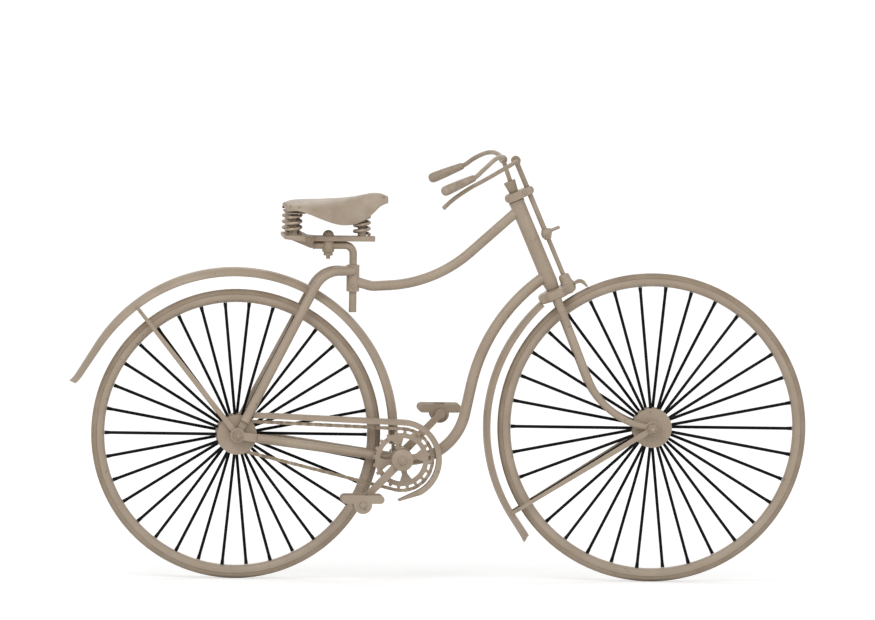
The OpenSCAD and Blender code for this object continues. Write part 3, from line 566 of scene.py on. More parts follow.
@dataclass(frozen=True)
class Finish:
    """One real surface: its colours, its gloss and the pattern that its making left."""

    name: str
    base: str
    dark: str
    pale: str
    grain: Grain
    grain_mm: float
    grain_depth_mm: float
    mottle_mm: float = 70.0
    metallic: float = 0.0
    roughness: float = 0.5
    spread: float = 0.1
    coat: float = 0.0
    sheen: float = 0.0
    ior: float = 1.5
    chips: float = 0.0
    dust: float = 0.0
    # Painted shade: how strongly the corners that ambient occlusion finds are darkened towards old-oil brown,
    # and how far it looks.
    shade_and_grime: float = 0.0
    shade_and_grime_mm: float = 14.0

    def build(self) -> bpy.types.Material:
        """Makes the material.

        Returns:
            The finished node material.
        """
        material = bpy.data.materials.new(self.name)
        material.use_nodes = True
        tree = material.node_tree
        tree.nodes.clear()
        where = add(tree, "ShaderNodeTexCoord").outputs["Object"]
        colour = self._colour(tree, where)
        height = self._height(tree, where)
        patch = add(
            tree,
            "ShaderNodeTexNoise",
            {"Vector": where, "Scale": 1000 / (self.mottle_mm * RUB_SHARE), "Detail": 5.0},
        )
        half = self.spread / 2
        rough = add(
            tree,
            "ShaderNodeMapRange",
            {"Value": patch.outputs["Fac"], "From Min": PATCH_RANGE[0], "From Max": PATCH_RANGE[1],
             "To Min": self.roughness - half, "To Max": self.roughness + half},
        )
        bump = add(
            tree,
            "ShaderNodeBump",
            {"Height": height, "Strength": 1.0, "Distance": self.grain_depth_mm * MM},
        )
        shader = add(
            tree,
            "ShaderNodeBsdfPrincipled",
            {"Base Color": colour, "Roughness": rough.outputs["Result"], "Normal": bump.outputs["Normal"],
             "Metallic": self.metallic, "Coat Weight": self.coat, "Coat Roughness": 0.25,
             "Sheen Weight": self.sheen, "IOR": self.ior},
        )
        add(tree, "ShaderNodeOutputMaterial", {"Surface": shader.outputs["BSDF"]})
        material.diffuse_color = linear(self.base)
        return material

    def _colour(self, tree: bpy.types.NodeTree, where: bpy.types.NodeSocket) -> bpy.types.NodeSocket:
        """Mixes the base colour with its darker and paler patches, chips, road dust, and painted shade in
        corners, tinted as oily dirt.

        Args:
            tree: the material's tree.
            where: Object coordinates.

        Returns:
            The colour socket.
        """
        patch = add(
            tree,
            "ShaderNodeTexNoise",
            {"Vector": where, "Scale": 1000 / self.mottle_mm, "Detail": 6.0},
        )
        ramp = add(tree, "ShaderNodeValToRGB", {"Fac": patch.outputs["Fac"]})
        stops = ramp.color_ramp.elements
        stops[0].position, stops[0].color = PATCH_RANGE[0], linear(self.dark)
        stops[1].position, stops[1].color = PATCH_RANGE[1], linear(self.pale)
        middle = stops.new(0.5)
        middle.color = linear(self.base)
        colour = ramp.outputs["Color"]
        tints: list[tuple[str, bpy.types.NodeSocket]] = []
        if self.chips > 0:
            speck = add(tree, "ShaderNodeTexNoise", {"Vector": where, "Scale": 1000 / CHIP_MM, "Detail": 2.0})
            spot = add(
                tree,
                "ShaderNodeMapRange",
                {"Value": speck.outputs["Fac"], "From Min": CHIP_RANGE[0], "From Max": CHIP_RANGE[1],
                 "To Min": 0.0, "To Max": self.chips},
            )
            tints.append((CHIP_TINT, spot.outputs["Result"]))
        if self.dust > 0:
            height = add(tree, "ShaderNodeSeparateXYZ", {"Vector": where}).outputs["Z"]
            low = add(
                tree,
                "ShaderNodeMapRange",
                {"Value": height, "From Min": DUST_LOW, "From Max": DUST_HIGH,
                 "To Min": self.dust, "To Max": 0.0},
            ).outputs["Result"]
            cloud = add(tree, "ShaderNodeTexNoise", {"Vector": where, "Scale": 1000 / DUST_MM, "Detail": 7.0})
            both = add(tree, "ShaderNodeMath", {0: low, 1: cloud.outputs["Fac"]}, operation="MULTIPLY")
            tints.append((DUST_TINT, both.outputs["Value"]))
        # Painted shade: ambient occlusion darkens creases, joins and recesses towards old-oil brown, standing
        # in for contact shadow as well as oily dirt.
        if self.shade_and_grime > 0:
            open_air = add(tree, "ShaderNodeAmbientOcclusion", {"Distance": self.shade_and_grime_mm * MM}, samples=8)
            depth = add(
                tree,
                "ShaderNodeMapRange",
                {"Value": open_air.outputs["AO"], "From Min": SHADE_AND_GRIME_RANGE[0], "From Max": SHADE_AND_GRIME_RANGE[1],
                 "To Min": self.shade_and_grime, "To Max": 0.0},
            )
            tints.append((SHADE_AND_OIL_TINT, depth.outputs["Result"]))
        for tint, share in tints:
            links = {"Factor": share, "A": colour, "B": linear(tint)}
            colour = add(tree, "ShaderNodeMix", links, data_type="RGBA").outputs["Result"]
        return colour

    def _height(self, tree: bpy.types.NodeTree, where: bpy.types.NodeSocket) -> bpy.types.NodeSocket:
        """Draws the relief that the finish's making left.

        Args:
            tree: the material's tree.
            where: Object coordinates.

        Returns:
            The height socket, from 0 to 1.
        """
        scale = 1000 / self.grain_mm
        if self.grain is Grain.HIDE:
            cells = add(
                tree,
                "ShaderNodeTexVoronoi",
                {"Vector": where, "Scale": scale, "Randomness": 0.9},
                feature="DISTANCE_TO_EDGE",
            )
            return add(
                tree,
                "ShaderNodeMapRange",
                {"Value": cells.outputs["Distance"], "From Min": 0.0, "From Max": 0.25},
                interpolation_type="SMOOTHSTEP",
            ).outputs["Result"]
        if self.grain in (Grain.STREAKS, Grain.SCRATCHES):
            stretch = (0.12, 1.0, 1.0) if self.grain is Grain.STREAKS else (0.05, 1.0, 0.4)
            drawn = add(tree, "ShaderNodeMapping", {"Vector": where, "Scale": stretch})
            return add(
                tree,
                "ShaderNodeTexNoise",
                {"Vector": drawn.outputs["Vector"], "Scale": scale, "Detail": 5.0, "Roughness": 0.65},
            ).outputs["Fac"]
        detail = 1.5 if self.grain is Grain.ORANGE_PEEL else 8.0
        return add(
            tree,
            "ShaderNodeTexNoise",
            {"Vector": where, "Scale": scale, "Detail": detail, "Roughness": 0.6},
        ).outputs["Fac"]


# Stove enamel: baked paint, a soft gloss with faint orange peel, small chips, road dust low down and painted
# shade in corners.
# Its peel is about 2 mm across in life and is drawn at 7 mm so that it shows.
STOVE_ENAMEL = Finish(
    "stove_enamel_on_steel_tube", "#A99885", "#A2917E", "#B09F8C", Grain.ORANGE_PEEL, 7.0, 0.05,
    mottle_mm=90, roughness=0.40, spread=0.12, coat=0.1, ior=1.4, chips=0.5, dust=0.4, shade_and_grime=0.55,
)
# Brown lacquer: dipped over polished steel, a thin even skin with fine rub marks and painted shade, tinted as
# old oil, in its corners.
BROWN_LACQUER = Finish(
    "brown_lacquer_on_polished_steel", "#A89784", "#9D8C78", "#B2A18F", Grain.SCRATCHES, 2.5, 0.02,
    mottle_mm=35, roughness=0.44, spread=0.14, ior=1.33, shade_and_grime=0.55,
)
# Japan black: dipped lacquer on drawn wire, a deep black with a narrow weak shine.
JAPAN_BLACK = Finish(
    "japan_black_on_drawn_wire", "#050404", "#020202", "#090807", Grain.SCRATCHES, 3.0, 0.01,
    mottle_mm=40, roughness=0.38, spread=0.14, ior=1.2,
)
# Solid tyre rubber: moulded grey rubber, matt, with open pores, pale dust on the tread and painted shade in
# corners.
# Pores are under 1 mm and are drawn at 3 mm.
SOLID_RUBBER = Finish(
    "moulded_solid_tyre_rubber", "#9D8C79", "#948370", "#A69583", Grain.PORES, 3.0, 0.12,
    mottle_mm=55, roughness=0.74, spread=0.14, ior=1.4, dust=0.5, shade_and_grime=0.5,
)
# Pedal rubber: moulded blocks, matt and slightly worn, with painted shade, tinted as dirt, between the ribs.
PEDAL_RUBBER = Finish(
    "moulded_pedal_rubber", "#9F8E7B", "#948370", "#AA9987", Grain.PORES, 2.5, 0.12,
    mottle_mm=22, roughness=0.72, spread=0.14, ior=1.4, shade_and_grime=0.6,
)
# Saddle hide: thick cowhide moulded wet over a block, a satin skin with pebbled grain, rubbed patches and
# painted shade in corners.
# Its pebbles are about 1.5 mm and are drawn at 4 mm.
SADDLE_HIDE = Finish(
    "moulded_saddle_hide", "#AB9A87", "#A1907C", "#B2A391", Grain.HIDE, 4.0, 0.18,
    mottle_mm=45, roughness=0.5, spread=0.2, sheen=0.08, coat=0.05, shade_and_grime=0.4,
)
# Horn: turned and polished, with streaks along the grip and painted shade in corners.
TURNED_HORN = Finish(
    "turned_and_polished_horn", "#A39280", "#94836F", "#AF9F8C", Grain.STREAKS, 3.5, 0.05,
    mottle_mm=18, roughness=0.38, spread=0.12, coat=0.1, ior=1.4, shade_and_grime=0.4,
)
# Spring steel: coiled hot and oiled, dull grey brown, with painted shade in corners.
SPRING_STEEL = Finish(
    "oiled_spring_steel", "#AA9A87", "#968572", "#B4A492", Grain.SCRATCHES, 2.5, 0.03,
    mottle_mm=14, metallic=0.6, roughness=0.46, spread=0.16, shade_and_grime=0.5,
)
# Chain steel: punched plates and blocks, oiled, with painted shade, tinted as dark dirt, in the joints.
CHAIN_STEEL = Finish(
    "oiled_chain_steel", "#9A8A76", "#7C6D5C", "#A99A86", Grain.SCRATCHES, 2.0, 0.03,
    mottle_mm=11, metallic=0.6, roughness=0.46, spread=0.18, shade_and_grime=0.6,
)

SLOT_FINISH: dict[str, Finish] = {
    "enamel": STOVE_ENAMEL,
    "lacquered_steel": BROWN_LACQUER,
    "spoke_black": JAPAN_BLACK,
    "tyre_rubber": SOLID_RUBBER,
    "pad_rubber": PEDAL_RUBBER,
    "grip_horn": TURNED_HORN,
    "saddle_leather": SADDLE_HIDE,
    "spring_steel": SPRING_STEEL,
    "chain_steel": CHAIN_STEEL,
}


class Workshop:
    def __init__(self, frame: dict[str, Any]) -> None:
        """Keeps the frame and builds one material for each slot.
        """
        self.nodes: dict[str, bpy.types.Object] = frame["nodes"]
        self.record: dict[str, Any] = frame["record"]
        self.materials = {slot: finish.build() for slot, finish in SLOT_FINISH.items()}

    def dress_nodes(self) -> None:
        """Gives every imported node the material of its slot."""
        for part in self.record["subparts"]:
            mesh = self.nodes[part["node"]].data
            material = self.materials[part["material_slot"]]
            if not mesh.materials:
                mesh.materials.append(material)
            for index in range(len(mesh.materials)):
                mesh.materials[index] = material

    def copy_of(self, node: str, name: str) -> bpy.types.Object:
        """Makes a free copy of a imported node's mesh, with its loose triangles merged.

        Args:
            node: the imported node.
            name: name of the copy.

        Returns:
            The linked copy, at the origin.
        """
        source = self.nodes[node]
        mesh = bpy.data.meshes.new(name)
        work = bmesh.new()
        work.from_mesh(source.data)
        bmesh.ops.remove_doubles(work, verts=work.verts, dist=MERGE_MM * MM)
        work.to_mesh(mesh)
        work.free()
        mesh.transform(source.matrix_world)
        mesh.materials.append(source.data.materials[0])
        mesh.shade_smooth()
        piece = bpy.data.objects.new(name, mesh)
        bpy.context.scene.collection.objects.link(piece)
        return piece

    def keep(self, piece: bpy.types.Object, body: Body, replaced: Sequence[str] = ()) -> None:
        """Makes a finished piece ride on its body, and reports it.

        Args:
            piece: the finished object.
            body: what it moves with.
            replaced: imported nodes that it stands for.
        """
        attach(piece, body.value)
        if replaced:
            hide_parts(*replaced)
        LOG.info("%s: %d faces on %s", piece.name, len(piece.data.polygons), body.value)


@dataclass
class Casting:
    """A packed casting drawn again with the soft corners that its mould leaves."""

    node: str
    name: str
    body: Body
    slot: str
    cell_mm: float = 1.5
    passes: int = 8
    pull: float = 0.5

    def build(self, shop: Workshop) -> None:
        """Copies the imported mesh, rounds the copy and lets it stand for the node.

        Args:
            shop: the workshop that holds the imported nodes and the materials.
        """
        piece = shop.copy_of(self.node, self.name)
        cells = piece.modifiers.new("even_cells", "REMESH")
        cells.mode = "VOXEL"
        cells.voxel_size = self.cell_mm * MM
        cells.use_smooth_shade = True
        soft = piece.modifiers.new("soft_corners", "SMOOTH")
        soft.factor = self.pull
        soft.iterations = self.passes
        bake(piece)
        piece.data.materials.clear()
        piece.data.materials.append(shop.materials[self.slot])
        shop.keep(piece, self.body, [self.node])


@dataclass(frozen=True)
class HeadLine:
    """Steering axis of the bicycle, used to lay out what sits along it."""

    foot: Point = (1003.086, 0.0, 366.606)
    tilt: float = 23.2

    def up(self) -> Vector:
        """Gives the axis's upward direction."""
        a = math.radians(self.tilt)
        return Vector((-math.sin(a), 0.0, math.cos(a)))

    def ahead(self) -> Vector:
        """Gives the direction square to the axis, forwards."""
        a = math.radians(self.tilt)
        return Vector((math.cos(a), 0.0, math.sin(a)))

    def at(self, offset: float, along: float, y: float = 0.0) -> Vector:
        """Gives a point beside the axis in metres.

        Args:
            offset: millimetres ahead of the axis.
            along: millimetres up the axis from its foot.
            y: millimetres to the left.

        Returns:
            The point in the model's metres.
        """
        point = Vector(self.foot) + self.up() * along + self.ahead() * offset
        return place(point.x, y, point.z)


@dataclass
class Saddle:
    """Moulded leather seat with its rivets and coil springs."""

    rows: tuple[tuple[float, float, float, float], ...] = (
        (119, 986, 58, 971),
        (131, 994, 88, 972),
        (150, 998, 98, 974),
        (180, 1000, 100, 966),
        (212, 1001, 92, 953),
        (245, 1003, 76, 941),
        (275, 1005, 58, 935),
        (305, 1009, 42, 937),
        (330, 1014, 32, 947),
        (352, 1018, 27, 963),
        (374, 1017, 24, 984),
        (394, 1009, 17, 992),
    )
    thickness: float = 5.0
    steps_between: int = 5
    steps_round: int = 40
    spring_d: float = 48.0
    wire_d: float = 9.0
    rear_spring: Pair = (142.0, 58.0)
    rear_span: Pair = (909.2, 965.6)
    front_spring_x: float = 326.0
    front_span: Pair = (904.2, 974.8)
    turns: float = 4.0
    steps_a_turn: int = 36
    edge_mm: float = 1.6
    rivet_sink: float = 0.5
    rivet_places: Rows = (
        (1.1, 0.16), (1.1, 0.84), (2.2, 0.12), (2.2, 0.88), (0.35, 0.3), (0.35, 0.5), (0.35, 0.7), (10.3, 0.25),
        (10.3, 0.75),
    )

    def build(self, shop: Workshop) -> None:
        """Makes the seat, its rivets and its springs.

        Args:
            shop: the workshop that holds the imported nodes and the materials.
        """
        hide, steel, wire = (shop.materials[s] for s in ("saddle_leather", "lacquered_steel", "spring_steel"))
        shop.keep(self._seat(hide), Body.FRAME, ["saddle_leather"])
        shop.keep(self._rivets(steel), Body.FRAME)
        shop.keep(self._springs(wire), Body.FRAME, ["saddle_springs"])

    def _row(self, t: float) -> tuple[float, ...]:
        """Gives a cross section between the drawn ones on a smooth curve.

        Args:
            t: place along the rows, from 0 to the last row's number.

        Returns:
            Place along X, crown height, half width and lower edge height.
        """
        last = len(self.rows) - 1
        i = min(int(t), last - 1)
        f = t - i
        before, start, end, after = (self.rows[max(0, min(last, i + k))] for k in (-1, 0, 1, 2))
        return tuple(through(a, b, c, d, f) for a, b, c, d in zip(before, start, end, after))

    def _point(self, row: Sequence[float], angle: float, inset: float) -> Vector:
        """Gives a point on the skin.

        Args:
            row: one cross section.
            angle: from 0 at the left lower edge to pi at the right one.
            inset: how far inside the outer skin.

        Returns:
            The point in metres.
        """
        x, crown, half, low = row
        side, rise = math.cos(angle), max(math.sin(angle), 0.0)
        reach = (half - inset) * math.copysign(abs(side) ** (0.75 + 0.25 * rise**2), side) if side else 0.0
        return place(x, reach, low + (crown - low - inset) * rise**0.8)

    def _seat(self, material: bpy.types.Material) -> bpy.types.Object:
        """Moulds the leather as a closed shell with a rounded edge.

        Args:
            material: finish of the piece.

        Returns:
            The finished object.
        """
        count = (len(self.rows) - 1) * self.steps_between + 1
        outer = [math.pi * k / self.steps_round for k in range(self.steps_round + 1)]
        points: list[Vector] = []
        for i in range(count):
            row = self._row(i / self.steps_between)
            points += [self._point(row, a, 0.0) for a in outer]
            points += [self._point(row, a, self.thickness) for a in reversed(outer)]
        ring = 2 * len(outer)
        faces = skin_faces(count, ring) + sheet_ends(count, ring)
        seat = mesh_piece("moulded_seat", points, faces, material)
        edge = seat.modifiers.new("soft_edge", "BEVEL")
        edge.width = self.edge_mm * MM
        edge.segments = 2
        edge.limit_method = "ANGLE"
        edge.angle_limit = math.radians(50)
        return bake(seat)

    def _rivets(self, material: bpy.types.Material) -> bpy.types.Object:
        """Sets domed rivets along the rear edge and at the nose.

        Args:
            material: finish of the piece.

        Returns:
            The finished object.
        """
        rivets = Scatter("saddle_rivets", material, sides=12, radius_mm=5.0, top_radius_mm=3.2, height_mm=2.6)
        for step, angle in self.rivet_places:
            row, a = self._row(step), math.pi * angle
            point = self._point(row, a, 0.0)
            along = self._point(self._row(step + 0.05), a, 0.0) - self._point(self._row(step - 0.05), a, 0.0)
            across = self._point(row, a + 0.03, 0.0) - self._point(row, a - 0.03, 0.0)
            out = across.cross(along).normalized()
            centre = place(row[0], 0.0, row[3])
            if out.dot(point - centre) < 0:
                out = -out
            rivets.at(point - out * self.rivet_sink * MM, out)
        return rivets.build()

    def _springs(self, material: bpy.types.Material) -> bpy.types.Object:
        """Winds the three springs.

        Args:
            material: finish of the piece.

        Returns:
            The finished object.
        """
        springs = Sweep("coil_springs", material, self.wire_d / 2, sides=14)
        x, y = self.rear_spring
        for at, span, turns in (
            ((x, y), self.rear_span, self.turns - 1),
            ((x, -y), self.rear_span, self.turns - 1),
            ((self.front_spring_x, 0.0), self.front_span, self.turns),
        ):
            springs.along(self._helix(at, span, turns))
        return springs.build()

    def _helix(self, at: Pair, span: Pair, turns: float) -> list[Vector]:
        """Gives the line of one spring's wire.

        Args:
            at: X and Y of the spring's axis.
            span: its lowest and highest height.
            turns: how often it goes round.

        Returns:
            Points in metres.
        """
        radius = (self.spring_d - self.wire_d) / 2
        low, high = span[0] + self.wire_d / 2, span[1] - self.wire_d / 2
        steps = int(turns * self.steps_a_turn)
        line = []
        for i in range(steps + 1):
            a, height = 2 * math.pi * turns * i / steps, low + (high - low) * i / steps
            line.append(place(at[0] + radius * math.cos(a), at[1] + radius * math.sin(a), height))
        return line


@dataclass
class Wheel:
    """Spokes, nipples, tyre seams and oil caps of one wheel."""

    name: str
    body: Body
    centre: Pair
    radius: float
    spokes: int = 34
    ring_depth: float = 35.0
    flange_r: float = 52.0
    flange_y: float = 30.0
    wire_d: float = 8.2
    wire_ends: Pair = (0.5, 0.4)
    rim_y: float = 3.0
    nipple_len: float = 13.0
    tyre_d: float = 26.0
    seam_angle: float = 40.0
    seam_steps: int = 180
    barrel_r: float = 17.0

    def build(self, shop: Workshop) -> None:
        """Makes the wheel's spokes and small pieces.

        Args:
            shop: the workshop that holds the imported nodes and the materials.
        """
        black = shop.materials["spoke_black"]
        shop.keep(self._wires(black), self.body, [self.name + "_spokes"])
        shop.keep(self._nipples(black), self.body)
        shop.keep(self._seams(shop.materials["tyre_rubber"]), self.body)
        shop.keep(self._oil_caps(shop.materials["enamel"]), self.body)

    def _wires(self, material: bpy.types.Material) -> bpy.types.Object:
        """Draws the spokes with their thick lacquer.

        Args:
            material: finish of the piece.

        Returns:
            The finished object.
        """
        wires = Sweep(self.name + "_wire_spokes", material, self.wire_d / 2, sides=12)
        for i in range(self.spokes):
            low, high, _ = self._spoke(i)
            wires.along([place(*low), place(*high)])
        return wires.build()

    def _spoke(self, i: int) -> tuple[Vector, Vector, Vector]:
        """Gives a spoke's inner end, its outer end and its outward direction.

        Args:
            i: number of the spoke.

        Returns:
            Both ends in millimetres, and a direction of length one.
        """
        a = 2 * math.pi / self.spokes * i
        side = 1 if i % 2 == 0 else -1
        away = Vector((math.cos(a), 0.0, math.sin(a)))
        hub = Vector((self.centre[0], 0.0, self.centre[1]))
        inner, outer = self.wire_ends
        low = hub + away * (self.flange_r + inner) + Vector((0, side * self.flange_y, 0))
        high = hub + away * (self.radius - self.ring_depth - outer) + Vector((0, side * self.rim_y, 0))
        return low, high, (high - low).normalized()

    def _nipples(self, material: bpy.types.Material) -> bpy.types.Object:
        """Screws a nipple on each spoke's outer end.

        Args:
            material: finish of the piece.

        Returns:
            The finished object.
        """
        length = self.nipple_len
        nipples = Scatter(
            self.name + "_nipples", material, sides=10, radius_mm=4.4, top_radius_mm=5.2, height_mm=length
        )
        for i in range(self.spokes):
            _, end, out = self._spoke(i)
            at = end - out * (length + 0.2)
            nipples.at(place(at.x, at.y, at.z), out)
        return nipples.build()

    def _seams(self, material: bpy.types.Material) -> bpy.types.Object:
        """Lays the mould's fine seam on both flanks of the tyre.

        Args:
            material: finish of the piece.

        Returns:
            The finished object.
        """
        seams = Sweep(self.name + "_tyre_seams", material, radius_mm=0.55, sides=6)
        middle = self.radius - self.tyre_d / 2
        lift, steps = math.radians(self.seam_angle), self.seam_steps
        for side in (-1, 1):
            r = middle + self.tyre_d / 2 * math.sin(lift)
            y = side * self.tyre_d / 2 * math.cos(lift)
            seams.along(
                [
                    place(self.centre[0] + r * math.cos(a), y, self.centre[1] + r * math.sin(a))
                    for a in (2 * math.pi * i / steps for i in range(steps + 1))
                ]
            )
        return seams.build()

    def _oil_caps(self, material: bpy.types.Material) -> bpy.types.Object:
        """Screws an oil cap into the hub barrel at its top and one at its bottom.

        Args:
            material: finish of the piece.

        Returns:
            The finished object.
        """
        caps = Scatter(
            self.name + "_oil_cap", material, sides=16, radius_mm=5.0, top_radius_mm=4.0, height_mm=6.0
        )
        for a in (0.5, 1.5):
            way = Vector((math.cos(math.pi * a), 0.0, math.sin(math.pi * a)))
            at = Vector((self.centre[0], 0.0, self.centre[1])) + way * self.barrel_r
            caps.at(place(at.x, at.y, at.z), way)
        return caps.build()


@dataclass
class Drive:
    """Chain pins, chain guard, crank caps, and the pedals' ribs and nuts."""

    bracket: Pair = (435.0, 319.0)
    axle: Pair = (0.0, 381.0)
    chain_y: float = 56.0
    pitch: float = 25.4
    teeth: tuple[int, int] = (20, 9)
    plate_face: float = 5.05
    crank_face: float = 88.0
    crank_len: float = 156.0
    crank_angle: float = 46.0
    pedal_y: Pair = (95.0, 187.0)
    pad_len: float = 113.0
    pad_h: float = 22.0
    pad_rise: float = 14.0
    guard_r: float = 104.7
    guard_w: float = 26.0
    guard_run: float = 397.0
    guard_end: float = -62.0
    guard_tail: float = 48.0
    guard_h: float = 14.0
    tail_taper: float = 0.62
    tail_reach: float = 0.2
    tail_curl: float = 7.0
    corner_angle: float = 12.0
    bead_r: float = 1.3
    bead_sink: float = 0.6
    bead_short: float = 34.0
    cap_rows: Rows = (
        (0.0, 27.5), (2.2, 28.5), (3.4, 28.0), (4.2, 26.5), (4.2, 12.5), (4.6, 11.6), (8.6, 11.2), (9.6, 10.2),
        (9.6, 6.4), (11.6, 6.0), (12.4, 5.0),
    )
    rib_count: int = 6
    rib_start: float = 16.0
    rib_margin: float = 9.0

    def build(self, shop: Workshop) -> None:
        """Makes the drive's guard and small pieces.

        Args:
            shop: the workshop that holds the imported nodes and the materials.
        """
        shop.keep(self._pins(shop.materials["chain_steel"]), Body.FRAME)
        shop.keep(self._guard(shop), Body.FRAME, ["chain_guard"])
        shop.keep(self._guard_beads(shop.materials["enamel"]), Body.FRAME)
        for side in Side:
            shop.keep(self._cap(side, shop.materials["enamel"]), Body.CRANK)
            body = Body.LEFT_PEDAL if side is Side.LEFT else Body.RIGHT_PEDAL
            shop.keep(self._ribs(side, shop.materials["pad_rubber"]), body)
            nut = self._pedal_nut(side, shop.materials["lacquered_steel"])
            shop.keep(nut, Body.CRANK)

    def _pitch_r(self, teeth: int) -> float:
        """Gives a toothed wheel's pitch radius."""
        return self.pitch / (2 * math.sin(math.pi / teeth))

    def _lean(self) -> tuple[float, float, float]:
        """Gives the axle line's slope, the runs' lean to it and the axle distance.

        Returns:
            Slope and lean in radians, and the distance in millimetres.
        """
        dx, dz = self.bracket[0] - self.axle[0], self.bracket[1] - self.axle[1]
        gap = math.hypot(dx, dz)
        big, small = (self._pitch_r(t) for t in self.teeth)
        return math.atan2(dz, dx), math.asin((big - small) / gap), gap

    def _on_chain(self, s: float) -> Pair:
        """Gives the X and Z of the chain's middle line.

        Args:
            s: distance from the top of the chainwheel, clockwise.

        Returns:
            X and Z in millimetres.
        """
        slope, lean, gap = self._lean()
        big, small = (self._pitch_r(t) for t in self.teeth)
        run = gap * math.cos(lean)
        arc_big, arc_small = big * (math.pi + 2 * lean), small * (math.pi - 2 * lean)
        top = math.pi / 2 + lean + slope
        if s < arc_big:
            a = top - s / big
            return self.bracket[0] + big * math.cos(a), self.bracket[1] + big * math.sin(a)
        if s < arc_big + run:
            a, d = top - math.pi - 2 * lean, s - arc_big
            return (
                self.bracket[0] + big * math.cos(a) - d * math.cos(slope - lean),
                self.bracket[1] + big * math.sin(a) - d * math.sin(slope - lean),
            )
        if s < arc_big + run + arc_small:
            a = top - math.pi - 2 * lean - (s - arc_big - run) / small
            return self.axle[0] + small * math.cos(a), self.axle[1] + small * math.sin(a)
        d = s - arc_big - run - arc_small
        return (
            self.axle[0] + small * math.cos(top) + d * math.cos(slope + lean),
            self.axle[1] + small * math.sin(top) + d * math.sin(slope + lean),
        )

    def _pins(self, material: bpy.types.Material) -> bpy.types.Object:
        """Rivets a pin head on both faces of the chain at every joint.

        Args:
            material: finish of the piece.

        Returns:
            The finished object.
        """
        _, lean, gap = self._lean()
        big, small = (self._pitch_r(t) for t in self.teeth)
        wraps = big * (math.pi + 2 * lean) + small * (math.pi - 2 * lean)
        total = 2 * gap * math.cos(lean) + wraps
        links = 2 * round(total / self.pitch)
        pins = Scatter("chain_pins", material, sides=8, radius_mm=2.4, top_radius_mm=1.7, height_mm=0.8)
        for i in range(links):
            x, z = self._on_chain(total * i / links)
            for side in (-1, 1):
                pins.at(place(x, -self.chain_y + side * (self.plate_face - 0.1), z), Vector((0, side, 0)))
        return pins.build()

    def _guard(self, shop: Workshop) -> bpy.types.Object:
        """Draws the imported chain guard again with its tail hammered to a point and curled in.

        Args:
            shop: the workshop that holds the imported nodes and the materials.

        Returns:
            The finished object.
        """
        low = math.radians(self.guard_end)
        out = Vector((math.cos(low), 0.0, math.sin(low)))
        past = Vector((math.sin(low), 0.0, -math.cos(low)))
        hub = place(self.bracket[0], -self.chain_y, self.bracket[1])
        middle = (self.guard_r - self.guard_h / 2) * MM
        piece = shop.copy_of("chain_guard", "pointed_chain_guard")
        for corner in piece.data.vertices:
            along, away = (corner.co - hub).dot(past), (corner.co - hub).dot(out)
            if along > 0 and away > 0:
                share = min(along / (self.guard_tail * MM), 1.0)
                thin, curl = (middle - away) * self.tail_taper * share, self.tail_curl * MM * share**2
                corner.co += out * (thin - curl) + past * along * self.tail_reach * share
        return edged(piece, self.corner_angle)

    def _guard_beads(self, material: bpy.types.Material) -> bpy.types.Object:
        """Rolls a bead along both outer edges of the chain guard.

        Args:
            material: finish of the piece.

        Returns:
            The finished object.
        """
        slope, lean, _ = self._lean()
        top = math.pi / 2 + lean + slope
        low = math.radians(self.guard_end)
        beads = Sweep("chain_guard_beads", material, self.bead_r, sides=8)
        r = self.guard_r - self.bead_sink
        back = Vector((-math.sin(top), 0.0, math.cos(top)))
        for side in (-1, 1):
            y = -self.chain_y + side * (self.guard_w / 2 - self.bead_sink)
            line = [
                place(self.bracket[0] + r * math.cos(a), y, self.bracket[1] + r * math.sin(a))
                for a in (low + (top - low) * i / 48 for i in range(49))
            ]
            line.append(line[-1] + back * (self.guard_run - self.bead_short) * MM)
            beads.along(line)
        return beads.build()

    def _cap(self, side: Side, material: bpy.types.Material) -> bpy.types.Object:
        """Turns the round cap with its nut over a crank's boss.

        Args:
            side: side of the bicycle.
            material: finish of the piece.

        Returns:
            The finished object.
        """
        at = place(self.bracket[0], side.value * (self.crank_face - 0.2), self.bracket[1])
        points, faces = turned_points(self.cap_rows, at, Vector((0, side.value, 0)), 48, False)
        return edged(mesh_piece(f"crank_cap_{side.name.lower()}", points, faces, material))

    def _pin(self, side: Side) -> Pair:
        """Gives the X and Z of a pedal's pin.

        Args:
            side: side of the bicycle.

        Returns:
            X and Z in millimetres.
        """
        a = math.radians(self.crank_angle)
        return (
            self.bracket[0] + side.value * self.crank_len * math.cos(a),
            self.bracket[1] + side.value * self.crank_len * math.sin(a),
        )

    def _ribs(self, side: Side, material: bpy.types.Material) -> bpy.types.Object:
        """Moulds ribs across both faces of a pedal's rubbers.

        Args:
            side: side of the bicycle.
            material: finish of the piece.

        Returns:
            The finished object.
        """
        x, z = self._pin(side)
        ribs = Sweep(f"pedal_ribs_{side.name.lower()}", material, radius_mm=1.3, sides=6)
        margin = self.rib_margin
        near, far = (side.value * (y + d) for y, d in zip(self.pedal_y, (margin, -margin)))
        straight = (self.pad_len - self.pad_h) / 2
        for end in (-1, 1):
            for k in range(self.rib_count):
                share = k / (self.rib_count - 1)
                rib_x = x + end * (self.rib_start + (straight - self.rib_start) * share)
                for face in (-1, 1):
                    height = z + self.pad_rise + face * (self.pad_h / 2 - 0.3)
                    ribs.along([place(rib_x, near, height), place(rib_x, far, height)])
        return ribs.build()

    def _pedal_nut(self, side: Side, material: bpy.types.Material) -> bpy.types.Object:
        """Sets a hexagon nut on the outer end of a pedal's pin.

        Args:
            side: side of the bicycle.
            material: finish of the piece.

        Returns:
            The finished object.
        """
        x, z = self._pin(side)
        nuts = Scatter(
            f"pedal_nut_{side.name.lower()}", material, sides=6, radius_mm=9.0, top_radius_mm=8.4, height_mm=5.6
        )
        nuts.at(place(x, side.value * (self.pedal_y[1] + 0.3), z), Vector((0, side.value, 0)))
        return nuts.build()


